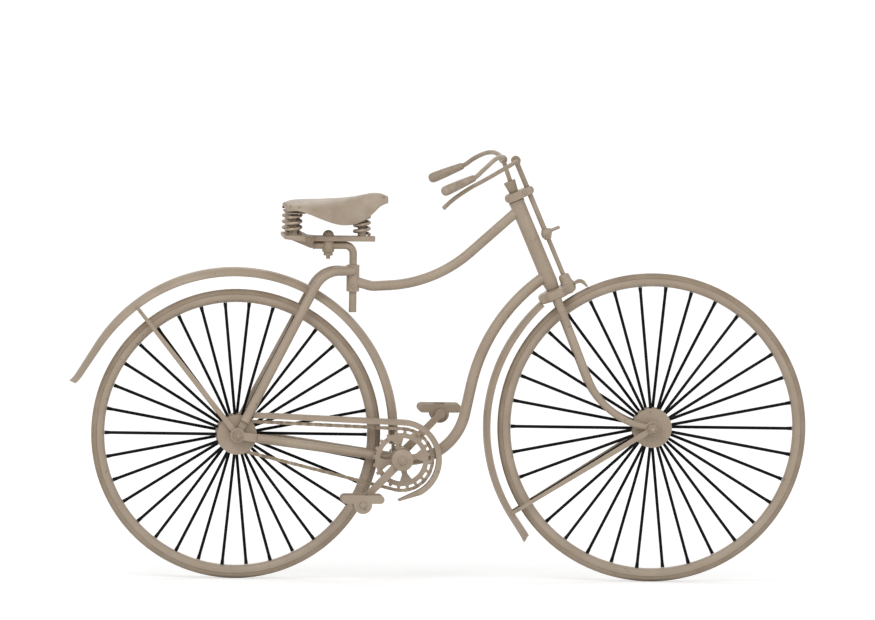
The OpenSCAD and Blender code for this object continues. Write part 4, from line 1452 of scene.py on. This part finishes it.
@dataclass
class Mudguard:
    """One mudguard of bowed sheet, with a lip at its tail, rolled edges and rivets."""

    name: str
    body: Body
    centre: Pair
    crown_r: float
    start: float
    end: float
    tail: float
    stay_angle: float
    depths: Rows
    slant: float
    lip: float
    lip_run: float = 26.0
    width: float = 54.0
    depth: float = 22.0
    sheet: float = 2.0
    steps_round: int = 24
    steps_arc: int = 84
    steps_tail: int = 28
    rivet_gap: float = 16.0

    def build(self, shop: Workshop) -> None:
        """Makes the mudguard's sheet, beads and rivets.

        Args:
            shop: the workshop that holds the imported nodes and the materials.
        """
        enamel = shop.materials["enamel"]
        shop.keep(self._sheet(enamel), self.body, [self.name + "_mudguard"])
        shop.keep(self._beads(enamel), self.body)
        shop.keep(self._rivets(shop.materials["lacquered_steel"]), self.body)

    def _arc(self) -> float:
        """Gives the length of the round part along its crown."""
        return self.crown_r * math.radians(self.end - self.start)

    def _stations(self) -> list[float]:
        """Gives distances along the crown, closer together in the tail."""
        arc, count, late = self._arc(), self.steps_arc, self.steps_tail
        return [arc * i / count for i in range(count)] + [arc + self.tail * i / late for i in range(late + 1)]

    def _deep(self, s: float) -> float:
        """Gives the guard's depth at a distance along its crown."""
        return between(self.depths, s / (self._arc() + self.tail))

    def _spot(self, s: float, y: float, depth: float) -> Vector:
        """Gives a point of the guard.

        Args:
            s: distance along the crown from the guard's front end.
            y: distance to the left.
            depth: distance below the crown.

        Returns:
            The point in metres.
        """
        arc = self._arc()
        late = max(0.0, 1 - (arc + self.tail - s) / self.lip_run)
        s -= self.slant * depth * late**2
        depth -= self.lip * late**2
        a = math.radians(self.start) + min(s, arc) / self.crown_r
        out = Vector((math.cos(a), 0.0, math.sin(a)))
        past = Vector((-math.sin(a), 0.0, math.cos(a)))
        hub = Vector((self.centre[0], 0.0, self.centre[1]))
        spot = hub + out * (self.crown_r - depth) + past * max(0.0, s - arc)
        return place(spot.x, y, spot.z)

    def _sheet(self, material: bpy.types.Material) -> bpy.types.Object:
        """Rolls the bowed sheet, shallower towards its tail.

        Args:
            material: finish of the piece.

        Returns:
            The finished object.
        """
        bow = ((self.width / 2) ** 2 + self.depth**2) / (2 * self.depth)
        spread = math.asin(self.width / 2 / bow)
        turns = [spread * (2 * k / self.steps_round - 1) for k in range(self.steps_round + 1)]
        stations = self._stations()
        points: list[Vector] = []
        for s in stations:
            drop = bow * self._deep(s) / self.depth
            outer = [(bow * math.sin(a), drop * (1 - math.cos(a))) for a in turns]
            inner = [
                ((bow - self.sheet) * math.sin(a), drop * (1 - math.cos(a)) + self.sheet * math.cos(a))
                for a in reversed(turns)
            ]
            points += [self._spot(s, y, depth) for y, depth in outer + inner]
        sides = 2 * len(turns)
        faces = skin_faces(len(stations), sides) + sheet_ends(len(stations), sides)
        return edged(mesh_piece(f"rolled_{self.name}_guard", points, faces, material))

    def _beads(self, material: bpy.types.Material) -> bpy.types.Object:
        """Rolls a wired bead along both edges.

        Args:
            material: finish of the piece.

        Returns:
            The finished object.
        """
        beads = Sweep(self.name + "_guard_beads", material, radius_mm=2.3, sides=10)
        for side in (-1, 1):
            y = side * (self.width / 2 - 0.6)
            beads.along([self._spot(s, y, self._deep(s) - 1.2) for s in self._stations()])
        return beads.build()

    def _rivets(self, material: bpy.types.Material) -> bpy.types.Object:
        """Rivets the stays to the guard's flanks.

        Args:
            material: finish of the piece.

        Returns:
            The finished object.
        """
        rivets = Scatter(
            self.name + "_guard_rivets", material, sides=12, radius_mm=4.2, top_radius_mm=2.8, height_mm=2.4
        )
        a = math.radians(self.stay_angle)
        r = self.crown_r - self.depth + 7
        for side in (-1, 1):
            for shift in (0.0, -self.rivet_gap):
                x = self.centre[0] + (r + shift) * math.cos(a)
                z = self.centre[1] + (r + shift) * math.sin(a)
                rivets.at(place(x, side * (self.width / 2 + 4.2 - shift * 0.12), z), Vector((0, side, 0)))
        return rivets.build()


@dataclass
class ForkCrown:
    """Forged fork crown with round shoulders, the brake rod's boss and the steerer."""

    head: HeadLine = field(default_factory=HeadLine)
    low: float = 409.54
    rows: tuple[Point, ...] = (
        (-44.5, 3, 28), (-43, 8, 34), (-40, 11, 38), (-35, 13.2, 40), (-26, 13.6, 46), (-20, 13.8, 60),
        (-12, 13.8, 64), (12, 13.8, 64), (20, 13.8, 60), (26, 13.6, 46), (34, 13.5, 30), (42, 13.2, 21),
        (50, 12, 17), (55.5, 9, 12), (58, 4, 6),
    )
    half_thick: float = 13.5
    boss: Rows = ((10, 19), (27, 19), (30, 17), (34, 15.5), (44, 15), (49, 14), (52.5, 11.5), (54, 7))
    steerer: Rows = ((14, 13.4), (303, 13.4))
    boss_offset: float = 40.0
    sides: int = 48
    squareness: float = 5.0

    def build(self, shop: Workshop) -> None:
        """Joins the three shapes in one piece.

        Args:
            shop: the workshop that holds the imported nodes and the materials.
        """
        boss, steerer = (
            turned_points(rows, self.head.at(offset, self.low), self.head.up(), self.sides, False)
            for offset, rows in ((self.boss_offset, self.boss), (0.0, self.steerer))
        )
        points, faces = joined(self._shoulders(), boss, steerer)
        piece = edged(mesh_piece("forged_fork_crown", points, faces, shop.materials["enamel"]))
        shop.keep(piece, Body.STEERING, ["fork_crown"])

    def _shoulders(self) -> Shape:
        """Lofts the slab through its rounded sections.

        Returns:
            The points and the faces.
        """
        middle = self.low + self.half_thick
        points: list[Vector] = []
        for offset, half_high, half_wide in self.rows:
            for i in range(self.sides):
                a = 2 * math.pi * (i + 0.5) / self.sides
                y, z = (math.copysign(abs(v) ** (2 / self.squareness), v) for v in (math.cos(a), math.sin(a)))
                points.append(self.head.at(offset, middle + half_high * z, half_wide * y))
        rings = len(self.rows)
        return points, skin_faces(rings, self.sides) + round_ends(rings, self.sides)


@dataclass
class ForkBlade:
    """One fork blade, drawn oval, that tapers into its forged axle eye."""

    side: Side
    head: HeadLine = field(default_factory=HeadLine)
    top: Pair = (0.0, 433.0)
    knee: Pair = (-10.0, 74.0)
    axle: Pair = (1095.0, 406.0)
    y: float = 51.0
    bend: float = 205.0
    half_deep: Rows = ((0.0, 11.0), (0.45, 10.4), (0.7, 9.4), (1.0, 8.0))
    half_wide: Rows = ((0.0, 9.5), (0.5, 8.3), (1.0, 8.25))
    eye_y: float = 47.0
    eye_rows: Rows = ((0.0, 18.3), (1.2, 19.5), (11.45, 19.5), (12.65, 18.3), (12.65, 6.15), (0.0, 6.15))
    sides: int = 24

    def build(self, shop: Workshop) -> None:
        """Joins the blade and its eye in one piece.

        Args:
            shop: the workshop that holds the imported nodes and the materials.
        """
        label = self.side.name.lower()
        at = place(self.axle[0], self.side.value * self.eye_y, self.axle[1])
        eye = turned_points(self.eye_rows, at, Vector((0, self.side.value, 0)), 48, True)
        points, faces = joined(self._blade(), eye)
        piece = edged(mesh_piece(f"oval_fork_blade_{label}", points, faces, shop.materials["enamel"]))
        shop.keep(piece, Body.STEERING, [f"fork_blade_{label}"])

    def _path(self) -> list[Vector]:
        """Gives the blade's middle line from the crown round its knee to the eye.

        Returns:
            Points of the line in metres, from the top.
        """
        y = self.side.value * self.y
        top, knee = (self.head.at(offset, along, y) for offset, along in (self.top, self.knee))
        eye = place(self.axle[0], y, self.axle[1])
        first, last = (knee - top).normalized(), (eye - knee).normalized()
        turn, bend = first.angle(last), self.bend * MM
        start = knee - first * bend * math.tan(turn / 2)
        inward = (last - first * math.cos(turn)).normalized()
        line = [top + (start - top) * i / 20 for i in range(20)]
        line += [
            start + (first * math.sin(a) + inward * (1 - math.cos(a))) * bend
            for a in (turn * i / 24 for i in range(25))
        ]
        bent = line[-1]
        return line + [bent + (eye - bent) * i / 4 for i in range(1, 5)]

    def _blade(self) -> Shape:
        """Lofts oval sections along the middle line.

        Returns:
            The points and the faces.
        """
        line = self._path()
        points: list[Vector] = []
        for i, spot in enumerate(line):
            way = (line[min(i + 1, len(line) - 1)] - line[max(i - 1, 0)]).normalized()
            deep, share = Vector((0, 1, 0)).cross(way), i / (len(line) - 1)
            for k in range(self.sides):
                a = 2 * math.pi * k / self.sides
                wide = Vector((0, math.cos(a) * between(self.half_wide, share), 0))
                points.append(spot + (wide + deep * math.sin(a) * between(self.half_deep, share)) * MM)
        return points, skin_faces(len(line), self.sides) + round_ends(len(line), self.sides)


@dataclass
class Steering:
    """Handlebar, grips, brake lever and rod, and the head tube with its race ring and bolts."""

    head: HeadLine = field(default_factory=HeadLine)
    grip_end: Point = (530.529, 276.0, 1042.61)
    grip_front: Point = (607.029, 252.0, 1076.11)
    grip_rows: Rows = (
        (0, 7.4), (2, 8.8), (6, 9.4), (30, 11.2), (60, 12.9), (80, 13.5), (89, 13.2), (94, 11.6), (98, 8),
    )
    grip_step: float = 0.7
    grip_back: float = 86.0
    groove: float = 0.7
    groove_span: Pair = (12.0, 80.0)
    groove_pitch: float = 8.5
    head_top: float = 689.54
    clip_mid: float = 701.54
    rod_offset: float = 40.0
    rod_eye: float = 787.54
    rod_step: float = 577.54
    rod_low: float = 408.54
    rod_r: Pair = (6.0, 6.8)
    eye_rows: Rows = ((-10, 11.2), (-8.8, 12.5), (8.8, 12.5), (10, 11.2))
    tube_rows: Rows = ((437.54, 17), (457.54, 20), (689.54, 20), (689.54, 13.5), (437.54, 13.5))
    race_rows: Rows = (
        (0.0, 19.9), (1.2, 21.2), (5.6, 21.4), (7.4, 20.8), (8.0, 19.6), (8.0, 14.2), (0.0, 14.2),
    )
    race_drop: float = 8.4
    clip_bolt: Pair = (28.0, 17.0)
    eye_bolt_y: float = 9.8
    rod_bolt: Pair = (-6.0, -12.6)
    bar_at: Point = (695.73, 0.0, 1109.11)
    bar_d: float = 12.0
    lever_d: float = 11.5
    lever_rows: tuple[Point, ...] = (
        (-29.7, -130, -32), (-66, -190, -47), (-99.7, -230, -62), (-137, -242, -86), (-160, -246, -105),
        (-171, -248, -116),
    )
    lever_eye_y: float = -11.4
    lever_start: Point = (-6, -24, -4)
    bar_rows: tuple[Point, ...] = (
        (0, 14, 0), (-4, 50, 6), (-16, 100, 11), (-31, 150, 8), (-48, 198, -2), (-66, 230, -15),
        (-88.7, 252, -33), (-127, 264, -49.7), (-160, 274.4, -64.2),
    )

    def build(self, shop: Workshop) -> None:
        """Makes the steering's pieces.

        Args:
            shop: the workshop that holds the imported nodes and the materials.
        """
        steel = shop.materials["lacquered_steel"]
        shop.keep(self._bar(steel), Body.STEERING, ["handlebar"])
        shop.keep(self._lever(steel), Body.STEERING, ["brake_lever"])
        shop.keep(self._rod(steel), Body.STEERING, ["brake_rod"])
        shop.keep(self._tube(shop.materials["enamel"]), Body.FRAME, ["head_tube"])
        for side in Side:
            grip = self._grip(side, shop.materials["grip_horn"])
            shop.keep(grip, Body.STEERING, [f"grip_{side.name.lower()}"])
        shop.keep(self._race(shop.materials["enamel"]), Body.FRAME)
        shop.keep(self._bolts(steel), Body.STEERING)

    def _bar(self, material: bpy.types.Material) -> bpy.types.Object:
        """Bends the handlebar's tube in one easy curve from grip to grip.

        Args:
            material: finish of the piece.

        Returns:
            The finished object.
        """
        half = [Vector(row) + Vector(self.bar_at) for row in self.bar_rows]
        rows = [Vector((p.x, -p.y, p.z)) for p in reversed(half)] + half
        line = [place(*p) for p in eased(rows, 10)]
        bar = Sweep("bent_bar", material, self.bar_d / 2, sides=20)
        bar.along(line)
        return bar.build()

    def _lever(self, material: bpy.types.Material) -> bpy.types.Object:
        """Bends the brake lever's rod from the brake rod's eye to the finger end.

        Args:
            material: finish of the piece.

        Returns:
            The finished object.
        """
        eye = Vector(self.head.foot) + self.head.up() * self.rod_eye + self.head.ahead() * self.rod_offset
        eye.y = self.lever_eye_y
        rows = [eye, eye + Vector(self.lever_start)]
        rows += [Vector(row) + Vector(self.bar_at) for row in self.lever_rows]
        lever = Sweep("bent_lever", material, self.lever_d / 2, sides=16)
        lever.along([place(*p) for p in eased(rows, 8)])
        return lever.build()

    def _rod(self, material: bpy.types.Material) -> bpy.types.Object:
        """Turns the stepped brake rod with its eye for the lever.

        Args:
            material: finish of the piece.

        Returns:
            The finished object.
        """
        low, high = self.rod_r
        step = self.rod_step
        rows = [(self.rod_low, low), (step - 2, low), (step, high), (self.rod_eye, high)]
        rod = turned_points(rows, self.head.at(self.rod_offset, 0.0), self.head.up(), 32, False)
        at = self.head.at(self.rod_offset, self.rod_eye)
        points, faces = joined(rod, turned_points(self.eye_rows, at, Vector((0, 1, 0)), 40, False))
        return edged(mesh_piece("turned_brake_rod", points, faces, material))

    def _tube(self, material: bpy.types.Material) -> bpy.types.Object:
        """Draws the head tube at the girth that shows, swaged in at its foot."""
        points, faces = turned_points(self.tube_rows, self.head.at(0.0, 0.0), self.head.up(), 64, True)
        return edged(mesh_piece("swaged_head_tube", points, faces, material))

    def _radius(self, s: float) -> float:
        """Gives a grip's radius at a distance from its front end, with its turned grooves.

        Args:
            s: millimetres from the grip's front end.

        Returns:
            The radius in millimetres.
        """
        r = between(self.grip_rows, s)
        first, last = self.groove_span
        if first <= s <= last:
            r -= self.groove * max(0.0, math.cos(2 * math.pi * (s - first) / self.groove_pitch)) ** 6
        return r

    def _grip(self, side: Side, material: bpy.types.Material) -> bpy.types.Object:
        """Turns one grip with shallow grooves.

        Args:
            side: side of the bicycle.
            material: finish of the piece.

        Returns:
            The finished object.
        """
        end = Vector((self.grip_end[0], side.value * self.grip_end[1], self.grip_end[2]))
        front = Vector((self.grip_front[0], side.value * self.grip_front[1], self.grip_front[2]))
        axis = (end - front).normalized()
        start = end - axis * self.grip_back
        steps = round(self.grip_rows[-1][0] / self.grip_step)
        rows = [(i * self.grip_step, self._radius(i * self.grip_step)) for i in range(steps + 1)]
        points, faces = turned_points(rows, place(*start), axis, 32, False)
        return mesh_piece(f"turned_grip_{side.name.lower()}", points, faces, material)

    def _race(self, material: bpy.types.Material) -> bpy.types.Object:
        """Turns the ball race ring round the head tube's top.

        Args:
            material: finish of the piece.

        Returns:
            The finished object.
        """
        at = self.head.at(0, self.head_top - self.race_drop)
        points, faces = turned_points(self.race_rows, at, self.head.up(), 48, True)
        return edged(mesh_piece("head_race", points, faces, material))

    def _bolts(self, material: bpy.types.Material) -> bpy.types.Object:
        """Sets hexagon heads on the head clip, the brake rod's eye and its clip.

        Args:
            material: finish of the piece.

        Returns:
            The finished object.
        """
        bolts = Scatter("steering_bolts", material, sides=6, radius_mm=6.2, top_radius_mm=5.6, height_mm=5.0)
        ahead, out = self.clip_bolt
        for side in (-1, 1):
            bolts.at(self.head.at(ahead, self.clip_mid, side * out), Vector((0, side, 0)))
        bolts.at(self.head.at(self.rod_offset, self.rod_eye, self.eye_bolt_y), Vector((0, 1, 0)))
        drop, out = self.rod_bolt
        bolts.at(self.head.at(self.rod_offset, self.rod_step + drop, out), Vector((0, -1, 0)))
        return bolts.build()


@dataclass
class FrameTrim:
    """Seat bolts, post cap and bracket rings of the frame."""

    lug: Pair = (304.0, 34.0)
    bolt_z: float = 772.0
    bracket: Pair = (435.0, 319.0)
    bracket_half: float = 39.0
    arm_end: Pair = (197.2, 879.0)
    cap_rows: Rows = ((0.0, 9.0), (0.8, 10.6), (3.4, 10.8), (4.6, 10.4))
    ring_rows: Rows = ((0.0, 29.2), (1.0, 30.4), (4.4, 30.4), (5.4, 29.4), (5.4, 26.0), (0.0, 26.0))

    def build(self, shop: Workshop) -> None:
        """Makes the frame's small pieces.

        Args:
            shop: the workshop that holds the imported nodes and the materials.
        """
        shop.keep(self._bolts(shop.materials["lacquered_steel"]), Body.FRAME)
        shop.keep(self._post_cap(shop.materials["lacquered_steel"]), Body.FRAME)
        for side in Side:
            shop.keep(self._ring(side, shop.materials["enamel"]), Body.FRAME)

    def _bolts(self, material: bpy.types.Material) -> bpy.types.Object:
        """Sets the seat lug's pinch bolt heads.

        Args:
            material: finish of the piece.

        Returns:
            The finished object.
        """
        bolts = Scatter("seat_bolt", material, sides=6, radius_mm=7.0, top_radius_mm=6.4, height_mm=5.0)
        for side in (-1, 1):
            bolts.at(place(self.lug[0], side * (self.lug[1] / 2 - 1.0), self.bolt_z), Vector((0, side, 0)))
        return bolts.build()

    def _post_cap(self, material: bpy.types.Material) -> bpy.types.Object:
        """Turns the cap that closes the rear end of the seat post's arm.

        Args:
            material: finish of the piece.

        Returns:
            The finished object.
        """
        at = place(self.arm_end[0], 0.0, self.arm_end[1])
        points, faces = turned_points(self.cap_rows, at, Vector((1, 0, 0)), 40, False)
        return edged(mesh_piece("post_cap", points, faces, material))

    def _ring(self, side: Side, material: bpy.types.Material) -> bpy.types.Object:
        """Turns the lock ring on one end of the bottom bracket.

        Args:
            side: side of the bicycle.
            material: finish of the piece.

        Returns:
            The finished object.
        """
        at = place(self.bracket[0], side.value * (self.bracket_half - 5.2), self.bracket[1])
        points, faces = turned_points(self.ring_rows, at, Vector((0, side.value, 0)), 48, True)
        return edged(mesh_piece(f"bracket_ring_{side.name.lower()}", points, faces, material))


@dataclass
class Studio:
    """Pale floor, soft light and the picture's own view."""

    pixel_mm: float = 2.63
    azimuth: float = -3.5
    elevation: float = 3.6
    roll: float = 0.69
    rear_hub_px: Pair = (235.0, 432.5)
    rear_hub_mm: Point = (0.0, 0.0, 381.0)
    front_hub_px: Pair = (652.0, 428.2)
    front_hub_mm: Point = (1095.0, 0.0, 406.0)
    floor_size: float = 60.0
    floor_near: Pair = (1.6, 0.34)
    floor_far: Pair = (5.0, 0.55)
    sky: float = 0.62
    aim: Point = (520.0, 0.0, 520.0)
    lamps: tuple[tuple[str, Point, float, float], ...] = (
        ("key_lamp", (-1.6, -3.4, 2.6), 3.0, 62.0),
        ("fill_lamp", (2.6, -3.2, 1.0), 2.6, 20.0),
        ("back_lamp", (0.4, 3.2, 2.6), 3.0, 26.0),
    )
    camera_away: float = 8.0

    def build(self) -> None:
        """Sets the colour view and makes the world, floor, lamps and camera."""
        scene = bpy.context.scene
        scene.view_settings.view_transform = "Standard"
        self._world(scene)
        self._floor()
        self._lamps()
        self._camera(scene)

    def _seen(self, tree: bpy.types.NodeTree) -> bpy.types.NodeSocket:
        """Tells rays that the camera or a mirror or glass sends from rays that light the object.

        Args:
            tree: the tree that gets the nodes.

        Returns:
            A socket that is 1 for rays of the first kind and otherwise 0.
        """
        path = add(tree, "ShaderNodeLightPath").outputs
        seen = path["Is Camera Ray"]
        for kind in ("Is Glossy Ray", "Is Transmission Ray"):
            seen = add(tree, "ShaderNodeMath", {0: seen, 1: path[kind]}, operation="MAXIMUM").outputs["Value"]
        return seen

    def _world(self, scene: bpy.types.Scene) -> None:
        """Lights the object with a dim even sky that the camera and mirrors see as white.

        Args:
            scene: the scene that gets it.
        """
        world = bpy.data.worlds.new("studio_sky")
        scene.world = world
        world.use_nodes = True
        tree = world.node_tree
        tree.nodes.clear()
        strength = add(
            tree,
            "ShaderNodeMapRange",
            {"Value": self._seen(tree), "To Min": self.sky, "To Max": 1.0},
        )
        sky = add(tree, "ShaderNodeBackground", {"Color": (1, 1, 1, 1), "Strength": strength.outputs["Result"]})
        add(tree, "ShaderNodeOutputWorld", {"Surface": sky.outputs["Background"]})

    def _floor(self) -> None:
        """Lays a white floor under the tyres that still takes the shadow."""
        material = bpy.data.materials.new("matt_white_studio_floor")
        material.use_nodes = True
        tree = material.node_tree
        tree.nodes.clear()
        where = add(tree, "ShaderNodeTexCoord").outputs["Object"]
        away = add(tree, "ShaderNodeVectorMath", {0: where}, operation="LENGTH")
        (near, near_glow), (far, far_glow) = self.floor_near, self.floor_far
        lift = add(
            tree,
            "ShaderNodeMapRange",
            {"Value": away.outputs["Value"], "From Min": near, "From Max": far,
             "To Min": near_glow, "To Max": far_glow},
        ).outputs["Result"]
        glow = add(tree, "ShaderNodeMath", {0: self._seen(tree), 1: lift}, operation="MULTIPLY")
        matt = add(tree, "ShaderNodeBsdfDiffuse", {"Color": linear("#EFEFEF")})
        bright = {"Color": (1, 1, 1, 1), "Strength": glow.outputs["Value"]}
        light = add(tree, "ShaderNodeEmission", bright)
        both = add(tree, "ShaderNodeAddShader", {0: matt.outputs["BSDF"], 1: light.outputs["Emission"]})
        add(tree, "ShaderNodeOutputMaterial", {"Surface": both.outputs["Shader"]})
        half = self.floor_size / 2
        mesh = bpy.data.meshes.new("studio_floor")
        corners = [(-half, -half), (half, -half), (half, half), (-half, half)]
        mesh.from_pydata([(x, y, -SEAT.z * MM) for x, y in corners], [], [(0, 1, 2, 3)])
        mesh.materials.append(material)
        floor = bpy.data.objects.new("studio_floor", mesh)
        bpy.context.scene.collection.objects.link(floor)

    def _lamps(self) -> None:
        """Hangs a broad key lamp above the viewer's left, a weak one at the right and one behind."""
        for name, where, size, power in self.lamps:
            lamp = bpy.data.lights.new(name, "AREA")
            lamp.shape = "DISK"
            lamp.size = size
            lamp.energy = power
            holder = bpy.data.objects.new(name, lamp)
            aim = place(*self.aim) - Vector(where)
            holder.location = where
            holder.rotation_euler = aim.to_track_quat("-Z", "Y").to_euler()
            bpy.context.scene.collection.objects.link(holder)

    def _camera(self, scene: bpy.types.Scene) -> None:
        """Sets a level long view from the right side that lays both hubs on their pixels.

        Args:
            scene: the scene that gets it.
        """
        a, e, turn = (math.radians(v) for v in (self.azimuth, self.elevation, self.roll))
        back = Vector((math.sin(a) * math.cos(e), -math.cos(a) * math.cos(e), math.sin(e)))
        across = Vector((math.cos(a), math.sin(a), 0.0))
        upward = back.cross(across)
        right = across * math.cos(turn) + upward * math.sin(turn)
        up = upward * math.cos(turn) - across * math.sin(turn)
        pixel = self.pixel_mm * MM
        centre_right = centre_up = 0.0
        hubs = ((self.rear_hub_px, self.rear_hub_mm), (self.front_hub_px, self.front_hub_mm))
        for (u, v), hub in hubs:
            point = place(*hub)
            centre_right += (point.dot(right) - (u - IMAGE_W / 2) * pixel) / 2
            centre_up += (point.dot(up) + (v - IMAGE_H / 2) * pixel) / 2
        data = bpy.data.cameras.new("side_view")
        data.type = "ORTHO"
        data.ortho_scale = IMAGE_W * pixel
        data.clip_end = 100.0
        camera = bpy.data.objects.new("side_view", data)
        turned = Matrix((right, up, back)).transposed().to_4x4()
        turned.translation = right * centre_right + up * centre_up + back * self.camera_away
        camera.matrix_world = turned
        scene.collection.objects.link(camera)
        scene.camera = camera


def main() -> None:
    """Builds the scene piece by piece."""
    logging.basicConfig(level=logging.INFO, format="%(message)s")
    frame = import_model()
    shop = Workshop(frame)
    shop.dress_nodes()
    for build in (
        Saddle(),
        Wheel("rear", Body.REAR_WHEEL, centre=(0.0, 381.0), radius=381.0),
        Wheel("front", Body.FRONT_WHEEL, centre=(1095.0, 406.0), radius=406.0),
        Drive(),
        Mudguard(
            "rear", Body.FRAME, centre=(-6.0, 387.0), crown_r=433.0, start=-4.0, end=148.0, tail=120.0,
            stay_angle=128.5, depths=((0.0, 22.5), (0.64, 22.5), (0.84, 20.0), (1.0, 14.5)), slant=0.2, lip=4.5,
        ),
        Mudguard(
            "front", Body.STEERING, centre=(1095.0, 406.0), crown_r=444.0, start=132.0, end=213.0, tail=76.0,
            stay_angle=212.0, depths=((0.0, 15.0), (0.15, 17.5), (0.86, 17.5), (1.0, 19.5)), slant=0.6, lip=1.5,
        ),
        Steering(),
        ForkCrown(),
        ForkBlade(Side.RIGHT),
        ForkBlade(Side.LEFT),
        Casting("head_clip", "soft_head_clip", Body.STEERING, "enamel"),
        Casting("rod_clip", "soft_rod_clip", Body.STEERING, "enamel", cell_mm=1.0, passes=6),
        Casting("brake_spoon", "soft_brake_spoon", Body.STEERING, "lacquered_steel", cell_mm=1.0, passes=6),
        Casting("saddle_frame", "soft_saddle_frame", Body.FRAME, "lacquered_steel", passes=6),
        FrameTrim(),
    ):
        build.build(shop)
    Studio().build()


if __name__ == "__main__":
    main()
